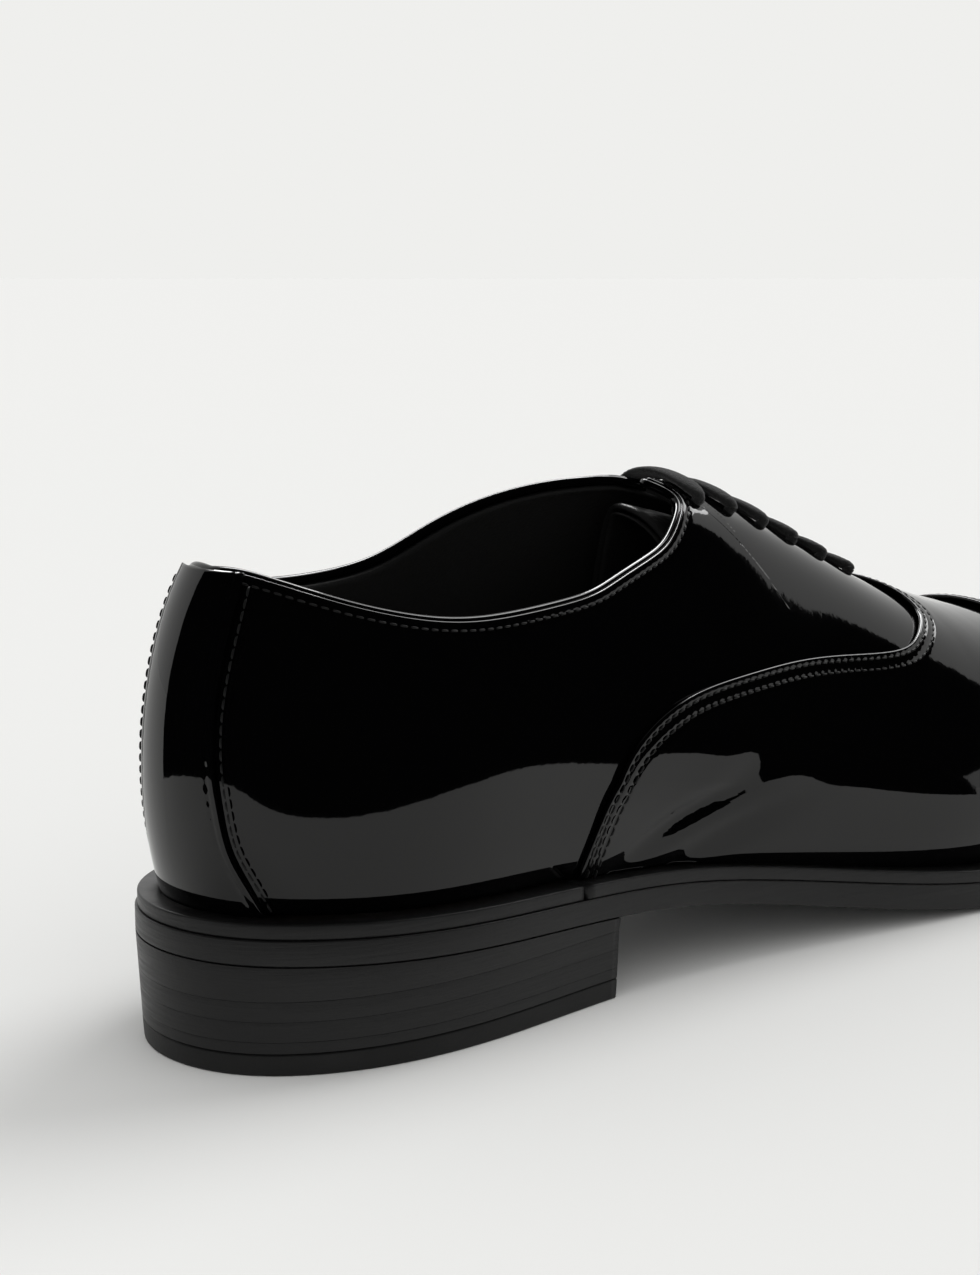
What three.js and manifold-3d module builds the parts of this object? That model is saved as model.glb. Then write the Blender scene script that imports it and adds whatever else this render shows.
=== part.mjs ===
// Men's closed-laced oxford shoe, right foot, made up of its upper, linings, bottom, heel and lacing.
// Millimetres. +X points to the toe, +Y to the inner (medial) side, +Z up; the shoe stands on z = 0.
// The origin is under the middle of the outsole's length and width.
import * as THREE from "three";
import Module from "manifold-3d";

const wasm = await Module();
wasm.setup();

// ---- driving dimensions -------------------------------------------------------------------
const SOLE_LENGTH = 301.6; // outsole, heel to toe
const BALL_WIDTH = 99.2; // outsole across the ball
const CONE_HEIGHT = 82; // highest point of the closed foot form above the welt
const HEEL_HEIGHT = 21; // ground to outsole at the back
const TOE_SPRING = 10; // ground to outsole at the tip of the toe
const HEEL_LENGTH = 84.3; // back of the heel to its breast
const HEEL_TAPER = 1.1; // how much the heel block draws in at the ground
const BREAST_CURVE = 3; // hollow of the heel breast
const TOP_PIECE = 4.3; // rubber top piece
const BASE_LIFT = 2; // dark layer over it
const WEDGE = 6.55; // top lift at the back, shaped to the pitch of the sole
const LIFTS = 2; // leather lifts that share the height left between those two
const SEAM = 0.15; // between pressed layers of the heel
const NAILS = 6; // nails that hold the top piece
const NAIL_R = 0.8;
const SOLE_HEEL = 4.9; // outsole thickness under the heel
const SOLE_BALL = 5.9; // and under the ball
const WELT = 2.9; // welt and rand thickness
const WELT_WIDTH = 8;
const WELT_END = 74; // where the rand stops and the welt begins
const INSOLE = 1.8;
const SOCK = 1;
const SHANK_WIDTH = 13;
const SHANK = 1.2;
const LEATHER = 1; // thickness of each upper piece
const LINING = 0.7;
const STAY = 0.4;
const COUNTER = 1;
const GAP = 0.3; // between neighbouring pieces
const PLY = 0.55; // between stacked layers of the upper
const UNDERLAP = 0.018; // how far the quarters run on under the vamp, share of the half outline
const BEAD_R = 1.3; // rolled edge round the topline
const TONGUE = 1.4;
const LACE_R = 1.25;
const BAR_RISE = 1.1; // how far a lace bar bows up over the facings
const EYELETS = 6; // pairs
const EYELET_R = 1.6; // bore
const EYELET_WALL = 0.5;
const EYELET_INSET = 9; // eyelet to facing edge
const FACING_GAP_TOP = 8; // between the facings at the topline
const FACING_GAP_LOW = 5; // and at the throat

// ---- colours ------------------------------------------------------------------------------
const finish = (color, roughness, metalness = 0) => ({ color, roughness, metalness });
const PATENT = finish(0x0b0b0c, 0.08);
const EDGE = finish(0x1a1a1b, 0.45);
const RUBBER = finish(0x141414, 0.7);
const LINER = finish(0x1c1b1a, 0.7);
const BOARD = finish(0x6d5136, 0.85);
const CORK = finish(0x8a6a45, 0.95);
const STEEL = finish(0x9a9a9c, 0.35, 1);
const BRASS = finish(0xa98d4c, 0.35, 1);
const CORD = finish(0x121212, 0.9);

// ---- curves -------------------------------------------------------------------------------
// Smooth curve through rows [x, y], flat outside them.
function spline(rows) {
  const x = rows.map((r) => r[0]), y = rows.map((r) => r[1]), n = x.length;
  const m = new Array(n).fill(0), c = new Array(n).fill(0), d = new Array(n).fill(0);
  for (let i = 1; i < n - 1; i++) {
    const h0 = x[i] - x[i - 1], h1 = x[i + 1] - x[i];
    const p = 2 * (h0 + h1) - h0 * c[i - 1];
    c[i] = h1 / p;
    d[i] = (6 * ((y[i + 1] - y[i]) / h1 - (y[i] - y[i - 1]) / h0) - h0 * d[i - 1]) / p;
  }
  for (let i = n - 2; i > 0; i--) m[i] = d[i] - c[i] * m[i + 1];
  return (t) => {
    const q = Math.min(Math.max(t, x[0]), x[n - 1]);
    let k = 0;
    while (k < n - 2 && q > x[k + 1]) k++;
    const h = x[k + 1] - x[k], a = (x[k + 1] - q) / h, b = (q - x[k]) / h;
    return a * y[k] + b * y[k + 1] + ((a ** 3 - a) * m[k] + (b ** 3 - b) * m[k + 1]) * h * h / 6;
  };
}
// Curve through points [u, v] by their order, 0 at the first and 1 at the last.
function path2(points) {
  const at = [0, 1].map((k) => spline(points.map((p, i) => [i / (points.length - 1), p[k]])));
  return (s) => [at[0](s), at[1](s)];
}
const mix = (a, b, s) => a + (b - a) * s;
const smooth = (s) => { const c = Math.min(Math.max(s, 0), 1); return c * c * (3 - 2 * c); };

// ---- the foot form ------------------------------------------------------------------------
// Rows give the design's shape in mm for a 301.6 x 99.2 sole and are scaled to the sizes above.
const KX = SOLE_LENGTH / 301.6, KY = BALL_WIDTH / 99.2, KZ = CONE_HEIGHT / 82;
const BACK = -1.6 * KX; // rearmost point of the sole in form coordinates
const along = (rows, k = 1) => {
  const f = spline(rows);
  return (x) => k * f(x / KX);
};
// Sole outline as half widths at each station: [x, outer side, inner side]
const WIDTHS = [
  [2.6, 15, 14.6], [13.6, 25.6, 25.2], [28.5, 31.9, 31.7], [50, 34.6, 34.4], [84, 33.4, 32],
  [115, 34.4, 28.6], [145, 38.9, 31], [172, 44.8, 37], [197, 49.2, 44.6], [218, 50, 47.6],
  [240, 47.2, 46], [262, 41.2, 42], [281, 29.8, 33], [293, 16.5, 23],
];
const TOE_Y = 4;
const angleAt = (x) => Math.acos(Math.min(Math.max(1 - 2 * (x - BACK) / SOLE_LENGTH, -1), 1));
const halfTurn = [[0, 0], ...WIDTHS.map(([x, , m]) => [angleAt(x * KX), m]), [Math.PI, TOE_Y]];
const turn = [...halfTurn, ...WIDTHS.map(([x, l]) => [2 * Math.PI - angleAt(x * KX), -l]).reverse()];
const wave = spline([-1, 0, 1].flatMap((k) => turn.map(([a, y]) => [a + 2 * Math.PI * k, y * KY])));
// Point of the outline: side -1 outer, +1 inner; t from 0 at the back to 1 at the toe.
const xAt = (t) => BACK + SOLE_LENGTH * (1 - Math.cos(Math.PI * t)) / 2;
const tAt = (x) => angleAt(x) / Math.PI;
function edge(side, t) {
  const a = Math.PI * t * side, e = 1e-3;
  const at = (b) => [BACK + SOLE_LENGTH * (1 - Math.cos(b)) / 2, wave(b)];
  const [p, q] = [at(a - e), at(a + e)], n = Math.hypot(q[0] - p[0], q[1] - p[1]);
  return { p: at(a), n: [-(q[1] - p[1]) / n, (q[0] - p[0]) / n] };
}
const inset = (side, t, d) => {
  const { p, n } = edge(side, t);
  return [p[0] - n[0] * d, p[1] - n[1] * d];
};
// Underside of the outsole: the heel's pitch runs out at the ball, then the toe springs up.
const pitch = along([[-5, 1.005], [0, 1], [40, 0.914], [84, 0.805], [105, 0.714], [128, 0.533],
  [150, 0.329], [170, 0.157], [188, 0.045], [203, 0], [220, 0], [300, 0]]);
const spring = along([[-5, 0], [188, 0], [203, 0], [212, 0], [222, 0.03], [240, 0.17], [262, 0.42],
  [282, 0.7], [300, 1]]);
const ground = (x) => HEEL_HEIGHT * Math.max(pitch(x), 0) + TOE_SPRING * Math.max(spring(x), 0);
const soleThick = (x) => mix(SOLE_HEEL, SOLE_BALL, smooth((x / KX - 84) / 100));
const soleTop = (x) => ground(x) + soleThick(x);
const weltTop = (x) => soleTop(x) + WELT;
// Side view: height of the form over the welt and of its widest line, and the ridge's side step.
const coneZ = along([[-5, 79], [34, 80], [60, 82], [90, 83], [118, 81.7], [142, 79.7], [160, 75.2],
  [185, 67.3], [205, 60.6], [222, 55.2], [236, 50.8], [250, 46.6], [264, 42.6], [280, 38.5], [305, 36]], KZ);
const ridgeY = along([[0, 0], [40, 0], [90, 1], [130, 2], [170, 3], [210, 4], [250, 4], [300, 3]], KY);
const wideZ = along([[-5, 24], [30, 23], [70, 20], [110, 18], [150, 16], [190, 14], [230, 12], [300, 11]]);
// How far inside the sole edge the form is at its widest and at the feather line, by side.
const WIDE_IN = {
  "-1": along([[-5, 1.4], [30, 1.2], [60, 1.2], [95, 0.3], [125, 0], [160, 1.8], [200, 3.4],
    [250, 4.6], [300, 4.8]]),
  "1": along([[-5, 1.4], [30, 1.2], [60, 1], [95, -1.8], [125, -2.5], [160, 0], [200, 3],
    [250, 4.6], [300, 4.8]]),
};
const FEATHER_IN = {
  "-1": along([[-5, 4.4], [30, 4], [60, 4], [95, 3.6], [125, 3.6], [160, 5], [200, 6.8],
    [250, 8], [300, 8.2]]),
  "1": along([[-5, 4.4], [30, 4], [60, 4], [95, 3.4], [125, 3.4], [160, 5], [200, 6.8],
    [250, 8], [300, 8.2]]),
};
// Hollow (+) or fullness (-) of the wall between its widest line and the ridge.
const HOLLOW = {
  "-1": along([[-5, 0], [40, 0.05], [90, 0.15], [118, 0.25], [150, 0.3], [185, 0.2], [215, 0.05],
    [250, -0.12], [300, -0.2]]),
  "1": along([[-5, 0], [40, 0.05], [90, 0.1], [118, 0.15], [150, 0.15], [185, 0.08], [215, 0],
    [250, -0.15], [300, -0.2]]),
};
// The ridge runs between two poles: every section behind or before them leans to its pole.
const POLE_BACK = 33 * KX, POLE_TOE = 264 * KX, POLE_BLEND = 20 * KX;
function ramp(s) {
  const u = Math.min(Math.max((s / POLE_BLEND + 1) / 2, 0), 1);
  return s > POLE_BLEND ? s : POLE_BLEND * (2 * u ** 3 - u ** 4);
}
const ridgeX = (x) => POLE_BACK + ramp(x - POLE_BACK) - ramp(x - POLE_TOE);
const WIDE_V = 0.25; // girth share of the widest line
// Point of the form's surface at girth v: 0 at the feather line, 1 on the ridge.
function form(side, t, v) {
  const { p, n } = edge(side, t), x = p[0], hz = wideZ(x), wide = WIDE_IN[side](x);
  const low = Math.min(Math.max(1 - v / WIDE_V, 0), 1) ** 2;
  const d = wide + (FEATHER_IN[side](x) - wide) * low;
  const foot = [p[0] - n[0] * d, p[1] - n[1] * d];
  const rise = Math.min(Math.max((v - WIDE_V) / (1 - WIDE_V), 0), 1) * Math.PI / 2;
  const up = Math.sin(rise), reach = Math.cos(rise) * (1 - 4 * HOLLOW[side](x) * up * up * (1 - up));
  const rx = ridgeX(x), ry = ridgeY(rx);
  const px = v < WIDE_V ? foot[0] : rx + (foot[0] - rx) * reach;
  const py = v < WIDE_V ? foot[1] : ry + (foot[1] - ry) * reach;
  const z = v < WIDE_V ? hz * Math.max(v, 0) / WIDE_V : hz + (coneZ(rx) - hz) * up;
  return new THREE.Vector3(px, py, weltTop(px) + z);
}
// The same, depth below the surface. Depths count inwards, so negative ones stand proud.
function skin(side, t, v, depth) {
  const e = 1e-3, cut = Math.min(Math.max(t, 2 * e), 1 - 2 * e), w = Math.min(Math.max(v, 2 * e), 1 - 2 * e);
  const dt = form(side, cut + e, w).sub(form(side, cut - e, w));
  const dv = form(side, cut, w + e).sub(form(side, cut, w - e));
  const n = dv.cross(dt).normalize().multiplyScalar(side);
  if (v > 1 - 2 * e || t < 2 * e || t > 1 - 2 * e) {
    // on the ridge and at the two ends both sides share one direction
    if (t < 2 * e || t > 1 - 2 * e) n.y = 0;
    if (v > 1 - 2 * e) n.set(n.x, 0, n.z);
    n.normalize();
  }
  return form(side, t, v).addScaledVector(n, -depth);
}

// ---- layers, as depths below the form's surface -------------------------------------------
const D_VAMP = 0;
const D_CAP = -(LEATHER + 1.5 * PLY);
const D_QUARTER = D_VAMP + LEATHER + PLY;
const D_STAY = D_QUARTER + LEATHER + PLY;
const D_LINING = D_STAY + STAY + PLY;
const COUNTER_T = 0.27, COUNTER_V = 0.42; // reach of the heel counter
const counterSwell = (t, v) => (COUNTER - STAY)
  * smooth((COUNTER_T + 0.06 - t) / 0.06) * smooth((COUNTER_V + 0.08 - v) / 0.08);
const liningDepth = (t, v) => D_LINING + counterSwell(t, v);
const D_LACE = D_LINING + LINING + PLY;
const D_TONGUE = D_LACE + 2 * LACE_R + PLY;

// ---- pattern lines on the form, as [t, v] --------------------------------------------------
// Vamp edge from the feather line, over the waist and round the throat to the ridge
const vampEdge = path2([[0.3405, 0], [0.3432, 0.06], [0.348, 0.14], [0.3554, 0.224], [0.3723, 0.308],
  [0.4096, 0.381], [0.4582, 0.436], [0.517, 0.504], [0.5624, 0.567], [0.5825, 0.629], [0.5917, 0.675],
  [0.6035, 0.762], [0.606, 0.88], [0.606, 1]]);
const CAP_T = tAt(243.6 * KX); // toe cap seam
const capSeam = (s) => [CAP_T - 0.012 * (1 - s) ** 2, s];
// Topline from the back seam to the facing corner; the inner side stands higher at the waist
const FACING_TOP_T = 0.442;
const outerTopline = path2([[0, 0.611], [0.065, 0.611], [0.1358, 0.583], [0.1727, 0.563], [0.2348, 0.53],
  [0.2919, 0.517], [0.35, 0.536], [0.3802, 0.568], [0.4128, 0.628], [0.4324, 0.69], [0.447, 0.78],
  [0.4525, 0.86], [FACING_TOP_T, 0.935]]);
const innerTopline = path2([[0, 0.611], [0.065, 0.611], [0.1358, 0.583], [0.1727, 0.566], [0.2348, 0.548],
  [0.2919, 0.556], [0.325, 0.59], [0.3502, 0.655], [0.375, 0.722], [0.4, 0.786], [0.42, 0.843],
  [0.434, 0.892], [FACING_TOP_T, 0.935]]);
const topline = (s, side = -1) => (side < 0 ? outerTopline : innerTopline)(s);
const THROAT_T = 0.606;
const facingHalf = (t) =>
  mix(FACING_GAP_TOP, FACING_GAP_LOW, (t - FACING_TOP_T) / (THROAT_T - FACING_TOP_T)) / 2;
// Girth at which the form is a distance mm from the ridge, across the shoe
function girthFrom(side, t, mm) {
  let lo = 0.4, hi = 1;
  for (let i = 0; i < 30; i++) {
    const mid = (lo + hi) / 2, d = Math.abs(form(side, t, mid).y - form(side, t, 1).y);
    if (d > mm) lo = mid; else hi = mid;
  }
  return (lo + hi) / 2;
}
const facingV = (side, t) => girthFrom(side, t, facingHalf(t));

// ---- solids -------------------------------------------------------------------------------
const shoe = new THREE.Group();
shoe.name = "oxford_shoe";
const SOLE_ROWS = 28;
const extent = Array.from({ length: 2 * SOLE_ROWS }, (_, i) => wave(i * Math.PI / SOLE_ROWS));
const MIDDLE_Y = (Math.max(...extent) + Math.min(...extent)) / 2;
shoe.position.set(-(BACK + SOLE_LENGTH / 2), -MIDDLE_Y, 0);

// Surface of triangles in which points that lie together are one, without the faces that fold away.
const SAME = 2e-3;
function geometryOf(points, faces) {
  const kept = [], at = points.map((p) => {
    const known = kept.findIndex((q) => q.distanceTo(p) < SAME);
    return known < 0 ? kept.push(p) - 1 : known;
  });
  const open = faces.map((f) => f.map((i) => at[i])).filter(([i, j, k]) => i !== j && j !== k && k !== i);
  return new THREE.BufferGeometry().setFromPoints(kept).setIndex(open.flat());
}
// The same for a three.js shape, which holds a point once for each face.
function welded(shape) {
  const place = shape.getAttribute("position"), index = shape.index.array;
  const point = (_, i) => new THREE.Vector3().fromBufferAttribute(place, i);
  const points = Array.from({ length: place.count }, point);
  const faces = Array.from({ length: index.length / 3 }, (_, i) => [...index.slice(3 * i, 3 * i + 3)]);
  return geometryOf(points, faces);
}
// Closed body of a surface, with its faces turned to point outwards.
function solid(g) {
  const body = () => new wasm.Manifold(new wasm.Mesh({
    numProp: 3,
    vertProperties: new Float32Array(g.attributes.position.array),
    triVerts: new Uint32Array(g.index.array),
  }));
  if (body().volume() < 0) g.setIndex(Array.from(g.index.array).reverse());
  return body();
}
function add(name, g, look) {
  solid(g);
  g.computeVertexNormals();
  const mesh = new THREE.Mesh(g, new THREE.MeshStandardMaterial({ ...look, flatShading: true }));
  mesh.name = name;
  shoe.add(mesh);
}
function minus(g, tools) {
  const { vertProperties, triVerts } = tools.reduce((m, tool) => m.subtract(solid(tool)), solid(g)).getMesh();
  const cut = new THREE.BufferGeometry();
  cut.setAttribute("position", new THREE.Float32BufferAttribute(Array.from(vertProperties), 3));
  cut.setIndex(Array.from(triVerts));
  return cut;
}
// Closed sheet between two grids of points; at(i, j) gives [outer, inner]. A folded sheet's last
// row lies on itself, half against half, so it has no end wall.
function sheet(rows, cols, at, folded = false) {
  const points = [], faces = [], w = cols + 1, layer = (rows + 1) * w;
  for (const k of [0, 1])
    for (let i = 0; i <= rows; i++)
      for (let j = 0; j <= cols; j++) points.push(at(i / rows, j / cols)[k]);
  const id = (k, i, j) => k * layer + i * w + j;
  const quad = (a, b, c, d) => faces.push([a, b, c], [a, c, d]);
  for (let i = 0; i < rows; i++)
    for (let j = 0; j < cols; j++) {
      quad(id(0, i, j), id(0, i + 1, j), id(0, i + 1, j + 1), id(0, i, j + 1));
      quad(id(1, i, j), id(1, i, j + 1), id(1, i + 1, j + 1), id(1, i + 1, j));
    }
  for (let i = 0; i < rows; i++) {
    quad(id(0, i, 0), id(1, i, 0), id(1, i + 1, 0), id(0, i + 1, 0));
    quad(id(0, i, cols), id(0, i + 1, cols), id(1, i + 1, cols), id(1, i, cols));
  }
  for (let j = 0; j < cols; j++) {
    quad(id(0, 0, j), id(0, 0, j + 1), id(1, 0, j + 1), id(1, 0, j));
    if (!folded) quad(id(0, rows, j), id(1, rows, j), id(1, rows, j + 1), id(0, rows, j + 1));
  }
  return geometryOf(points, faces);
}
// Sheet of leather on the form: at(i, j) gives [side, t, v], depth may vary with t and v.
const panel = (rows, cols, thick, depth, at, folded) => sheet(rows, cols, (i, j) => {
  const [side, t, v] = at(i, j), d = typeof depth === "function" ? depth(t, v) : depth;
  return [skin(side, t, v, d), skin(side, t, v, d + thick)];
}, folded);
// Level plate inside the sole outline: between t0 and t1, drawn in by d0 below and d1 above.
const plate = (rows, cols, t0, t1, drawn, below, above) => sheet(rows, cols, (i, j) => {
  const t = mix(t0, t1, i);
  return [above, below].map((z) => {
    const d = typeof drawn === "function" ? drawn(t, z === above) : drawn;
    const a = inset(-1, t, d), b = inset(1, t, d), x = mix(a[0], b[0], j), y = mix(a[1], b[1], j);
    return new THREE.Vector3(x, y, z(x));
  });
});
// Round bar along points, with a radius that may change along it, closed at both ends.
function bar(points, radius, sides) {
  const path = new THREE.CatmullRomCurve3(points, false, "centripetal");
  return barAlong((s) => path.getPoint(s), points.length - 1, radius, sides);
}
function barAlong(at, steps, radius, sides) {
  const pts = Array.from({ length: steps + 1 }, (_, i) => at(i / steps));
  const dir = pts.map((p, i) => pts[Math.min(i + 1, steps)].clone().sub(pts[Math.max(i - 1, 0)]).normalize());
  let n = new THREE.Vector3(0, 0, 1).cross(dir[0]);
  if (n.length() < 0.2) n = new THREE.Vector3(0, 1, 0).cross(dir[0]);
  n.normalize();
  const points = [], faces = [];
  pts.forEach((p, i) => {
    n.addScaledVector(dir[i], -n.dot(dir[i])).normalize();
    const b = dir[i].clone().cross(n), r = typeof radius === "function" ? radius(i / steps) : radius;
    for (let k = 0; k < sides; k++) {
      const a = 2 * Math.PI * k / sides;
      points.push(p.clone().addScaledVector(n, r * Math.cos(a)).addScaledVector(b, r * Math.sin(a)));
    }
  });
  for (let i = 0; i < steps; i++)
    for (let k = 0; k < sides; k++) {
      const l = (k + 1) % sides, o = i * sides;
      faces.push([o + k, o + l, o + sides + l], [o + k, o + sides + l, o + sides + k]);
    }
  for (const [end, flip] of [[0, true], [steps, false]]) {
    points.push(pts[end].clone());
    for (let k = 0; k < sides; k++) {
      const l = (k + 1) % sides, o = end * sides, c = points.length - 1;
      faces.push(flip ? [c, o + l, o + k] : [c, o + k, o + l]);
    }
  }
  return geometryOf(points, faces);
}

// ---- bottom -------------------------------------------------------------------------------
const heelT = tAt(BACK + HEEL_LENGTH + 1.6 * KX);
const flat = (z) => () => z;
const drawnIn = (zLow, zHigh) => (t, top) => HEEL_TAPER * (1 - (top ? zHigh : zLow) / HEEL_HEIGHT);
// A heel layer: its breast is hollowed by pulling each row's middle back.
function heelLayer(name, zLow, zHigh, look, nails) {
  const low = typeof zLow === "number" ? flat(zLow) : zLow;
  const high = typeof zHigh === "number" ? flat(zHigh) : zHigh;
  const draw = drawnIn(low(0), high(0));
  let g = sheet(10, 4, (i, j) => {
    const t = heelT * i;
    return [high, low].map((z) => {
      const d = draw(t, z === high), a = inset(-1, t, d), b = inset(1, t, d);
      const x = mix(a[0], b[0], j) - BREAST_CURVE * 4 * j * (1 - j) * smooth((i - 0.6) / 0.4);
      return new THREE.Vector3(x, mix(a[1], b[1], j), z(x));
    });
  });
  if (nails) g = minus(g, nails);
  add(name, g, look);
}
const NAIL_DEPTH = 3.4, NAIL_INSET = 9;
const nailAt = Array.from({ length: NAILS }, (_, k) => {
  const side = k % 2 ? 1 : -1, t = heelT * (0.34 + 0.26 * Math.floor(k / 2));
  return inset(side, t, NAIL_INSET);
});
const post = (x, y, z0, z1, r, sides = 8) => {
  const g = new THREE.CylinderGeometry(r, r, z1 - z0, sides).rotateX(Math.PI / 2);
  return welded(g.translate(x, y, (z0 + z1) / 2));
};
const nailHoles = nailAt.map(([x, y]) => post(x, y, -1, NAIL_DEPTH + GAP, NAIL_R + GAP));
heelLayer("heel_top_piece", 0, TOP_PIECE, RUBBER, nailHoles);
nailAt.forEach(([x, y], k) => add(`heel_nail_${k + 1}`, post(x, y, GAP, NAIL_DEPTH, NAIL_R), BRASS));
heelLayer("heel_base_lift", TOP_PIECE + SEAM, TOP_PIECE + SEAM + BASE_LIFT, EDGE);
let liftZ = TOP_PIECE + SEAM + BASE_LIFT + SEAM;
const liftStep = (HEEL_HEIGHT - SEAM - WEDGE - liftZ) / LIFTS;
for (let k = 0; k < LIFTS; k++) {
  heelLayer(`heel_lift_${k + 1}`, liftZ, liftZ + liftStep - SEAM, EDGE);
  liftZ += liftStep;
}
heelLayer("heel_wedge_lift", liftZ, (x) => ground(x) - SEAM, EDGE);

add("outsole", plate(SOLE_ROWS, 4, 0, 1, 0, ground, soleTop), EDGE);
// Rand round the heel and welt round the forepart, as strips inside the sole edge
const strip = (rows, from, to, width, below, above, setback) => sheet(rows, 1, (i, j) => {
  const a = mix(from, to, i), side = a < 0 || a > 1 ? -1 : 1;
  const t = a > 1 ? 2 - a : Math.abs(a);
  const d = setback + width * j, p = inset(side, t, d);
  return [new THREE.Vector3(p[0], p[1], above(p[0])), new THREE.Vector3(p[0], p[1], below(p[0]))];
});
const weltT = tAt(WELT_END * KX), SETBACK = 1.6, LAYER = 0.15;
const onSole = (x) => soleTop(x) + LAYER, underUpper = (x) => weltTop(x) - LAYER;
add("heel_rand", strip(24, -weltT, weltT, WELT_WIDTH, onSole, underUpper, SETBACK), EDGE);
add("welt", strip(36, weltT + 0.004, 2 - weltT - 0.004, WELT_WIDTH, onSole, underUpper, 0.3), EDGE);
const INNER = SETBACK + WELT_WIDTH + GAP + 2; // room inside welt and rand
const FILLER_T0 = tAt(152 * KX), FILLER_T1 = tAt(272 * KX);
add("cork_filler", plate(8, 2, FILLER_T0, FILLER_T1, INNER, onSole, underUpper), CORK);
const shankAt = (x0, x1) => sheet(8, 1, (i, j) => {
  const x = mix(x0, x1, i) * KX, y = SHANK_WIDTH * (j - 0.5), z = onSole(x) + GAP;
  return [new THREE.Vector3(x, y, z + SHANK), new THREE.Vector3(x, y, z)];
});
add("steel_shank", shankAt(46, 147), STEEL);
const liningReach = (side, x) => FEATHER_IN[side](x) + D_LINING + COUNTER - STAY + LINING + GAP;
const board = (low, high, extra) => sheet(18, 2, (i, j) => {
  const t = mix(0.02, 0.985, i);
  const ends = [-1, 1].map((side) => inset(side, t, liningReach(side, xAt(t)) + extra));
  const x = mix(ends[0][0], ends[1][0], j), y = mix(ends[0][1], ends[1][1], j);
  return [new THREE.Vector3(x, y, weltTop(x) + high), new THREE.Vector3(x, y, weltTop(x) + low)];
});
add("insole_board", board(LAYER, LAYER + INSOLE, 0.6), BOARD);
add("sock_lining", board(LAYER + INSOLE + GAP, LAYER + INSOLE + GAP + SOCK, 0.6), LINER);

// ---- upper --------------------------------------------------------------------------------
const FOOT_V = 0.006; // lower edge of the upper, just clear of the welt
const CAP_V = 0.035; // the cap stands proud, so its edge stops higher
const lift = (v) => Math.max(v, FOOT_V);
// Columns run from the outer side (j = 0) over the ridge to the inner side (j = 1).
const over = (j) => [j < 0.5 ? -1 : 1, 1 - Math.abs(2 * j - 1)];
add("vamp", panel(12, 24, LEATHER, D_VAMP, (i, j) => {
  const [side, s] = over(j), a = vampEdge(s), b = capSeam(s);
  return [side, mix(a[0], b[0] + 0.02, i), lift(mix(a[1], b[1], i))];
}), PATENT);
add("toe_cap", panel(6, 16, LEATHER, D_CAP, (i, j) => {
  const [side, s] = over(j), a = capSeam(s);
  return [side, mix(a[0], 1, i), Math.max(s, CAP_V)];
}, true), PATENT);
add("toe_puff", panel(5, 12, LEATHER, D_VAMP, (i, j) => {
  const [side, s] = over(j), a = capSeam(s);
  return [side, mix(a[0] + 0.026, 1, i), lift(s)];
}, true), BOARD);
const stripEdge = spline([[0, 0.104], [0.054, 0.0905], [0.114, 0.0755], [0.2, 0.066], [0.3, 0.06],
  [0.391, 0.0605], [0.455, 0.064], [0.52, 0.068], [0.62, 0.0715]]);
const STRIP_TOP = 0.002; // the strip stops just under the bead
add("back_strip", panel(7, 8, LEATHER, D_VAMP, (i, j) => {
  const a = 2 * j - 1, v = lift(i * (topline(0)[1] - STRIP_TOP));
  return [a < 0 ? -1 : 1, Math.abs(a) * stripEdge(v), v];
}), PATENT);
// Lower and front boundary of a quarter: along the feather line, then by the vamp's edge, which it
// passes under by shift, or stops short of where shift is negative
const FORE_SPLIT = 0.32, HEAD_SPLIT = 0.66; // where the two boundaries turn a corner
const HEAD_OVER_FORE = 0.34; // place on the topline over the lower one's corner
const foreEdge = (start, shift) => (s) => {
  if (s < FORE_SPLIT) return [mix(start, vampEdge(0)[0] + shift, s / FORE_SPLIT), 0];
  const a = vampEdge(s < HEAD_SPLIT ? mix(0, 0.52, (s - FORE_SPLIT) / (HEAD_SPLIT - FORE_SPLIT))
    : mix(0.52, 0.93, (s - HEAD_SPLIT) / (1 - HEAD_SPLIT)));
  return [a[0] + shift, Math.max(a[1] - 2.2 * shift * smooth((s - FORE_SPLIT) / 0.15), 0)];
};
// Place on the topline where it passes t
function toplineAt(t) {
  let lo = 0, hi = 0.6;
  for (let i = 0; i < 24; i++) {
    const mid = (lo + hi) / 2;
    if (topline(mid)[0] < t) lo = mid; else hi = mid;
  }
  return lo;
}
// Upper boundary: drop mm inside the topline, then down the facing edge
const T_SPAN = 0.49 * Math.PI * SOLE_LENGTH, V_SPAN = 1.16 * CONE_HEIGHT; // mm for t and v of 1, about
const headEdge = (side, start, shift, drop) => (s) => {
  const from = toplineAt(start);
  if (s < HEAD_SPLIT) {
    const at = s < FORE_SPLIT ? mix(from, HEAD_OVER_FORE, s / FORE_SPLIT)
      : mix(HEAD_OVER_FORE, 1, (s - FORE_SPLIT) / (HEAD_SPLIT - FORE_SPLIT));
    const a = topline(at, side), b = topline(Math.min(at + 0.01, 1), side);
    const c = topline(Math.max(at - 0.01, 0), side);
    const dt = (b[0] - c[0]) * T_SPAN, dv = (b[1] - c[1]) * V_SPAN;
    const off = drop / Math.hypot(dt, dv);
    return [a[0] + off * dv / T_SPAN, Math.min(a[1] - off * dt / V_SPAN, facingV(side, FACING_TOP_T))];
  }
  const t = mix(FACING_TOP_T, THROAT_T + shift, (s - HEAD_SPLIT) / (1 - HEAD_SPLIT));
  return [t, facingV(side, Math.min(t, THROAT_T))];
};
const quarterAt = (side, start, shift, drop) => {
  const fore = foreEdge(start, shift), head = headEdge(side, start, shift, drop);
  return (i, j) => {
    const a = fore(i), b = head(i);
    return [side, mix(a[0], b[0], j), lift(mix(a[1], b[1], j))];
  };
};
const SEAM_T = 0.0028; // half of the back seam
const GRIP_T = 0.118; // where the heel grip ends and the quarter linings begin
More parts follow.
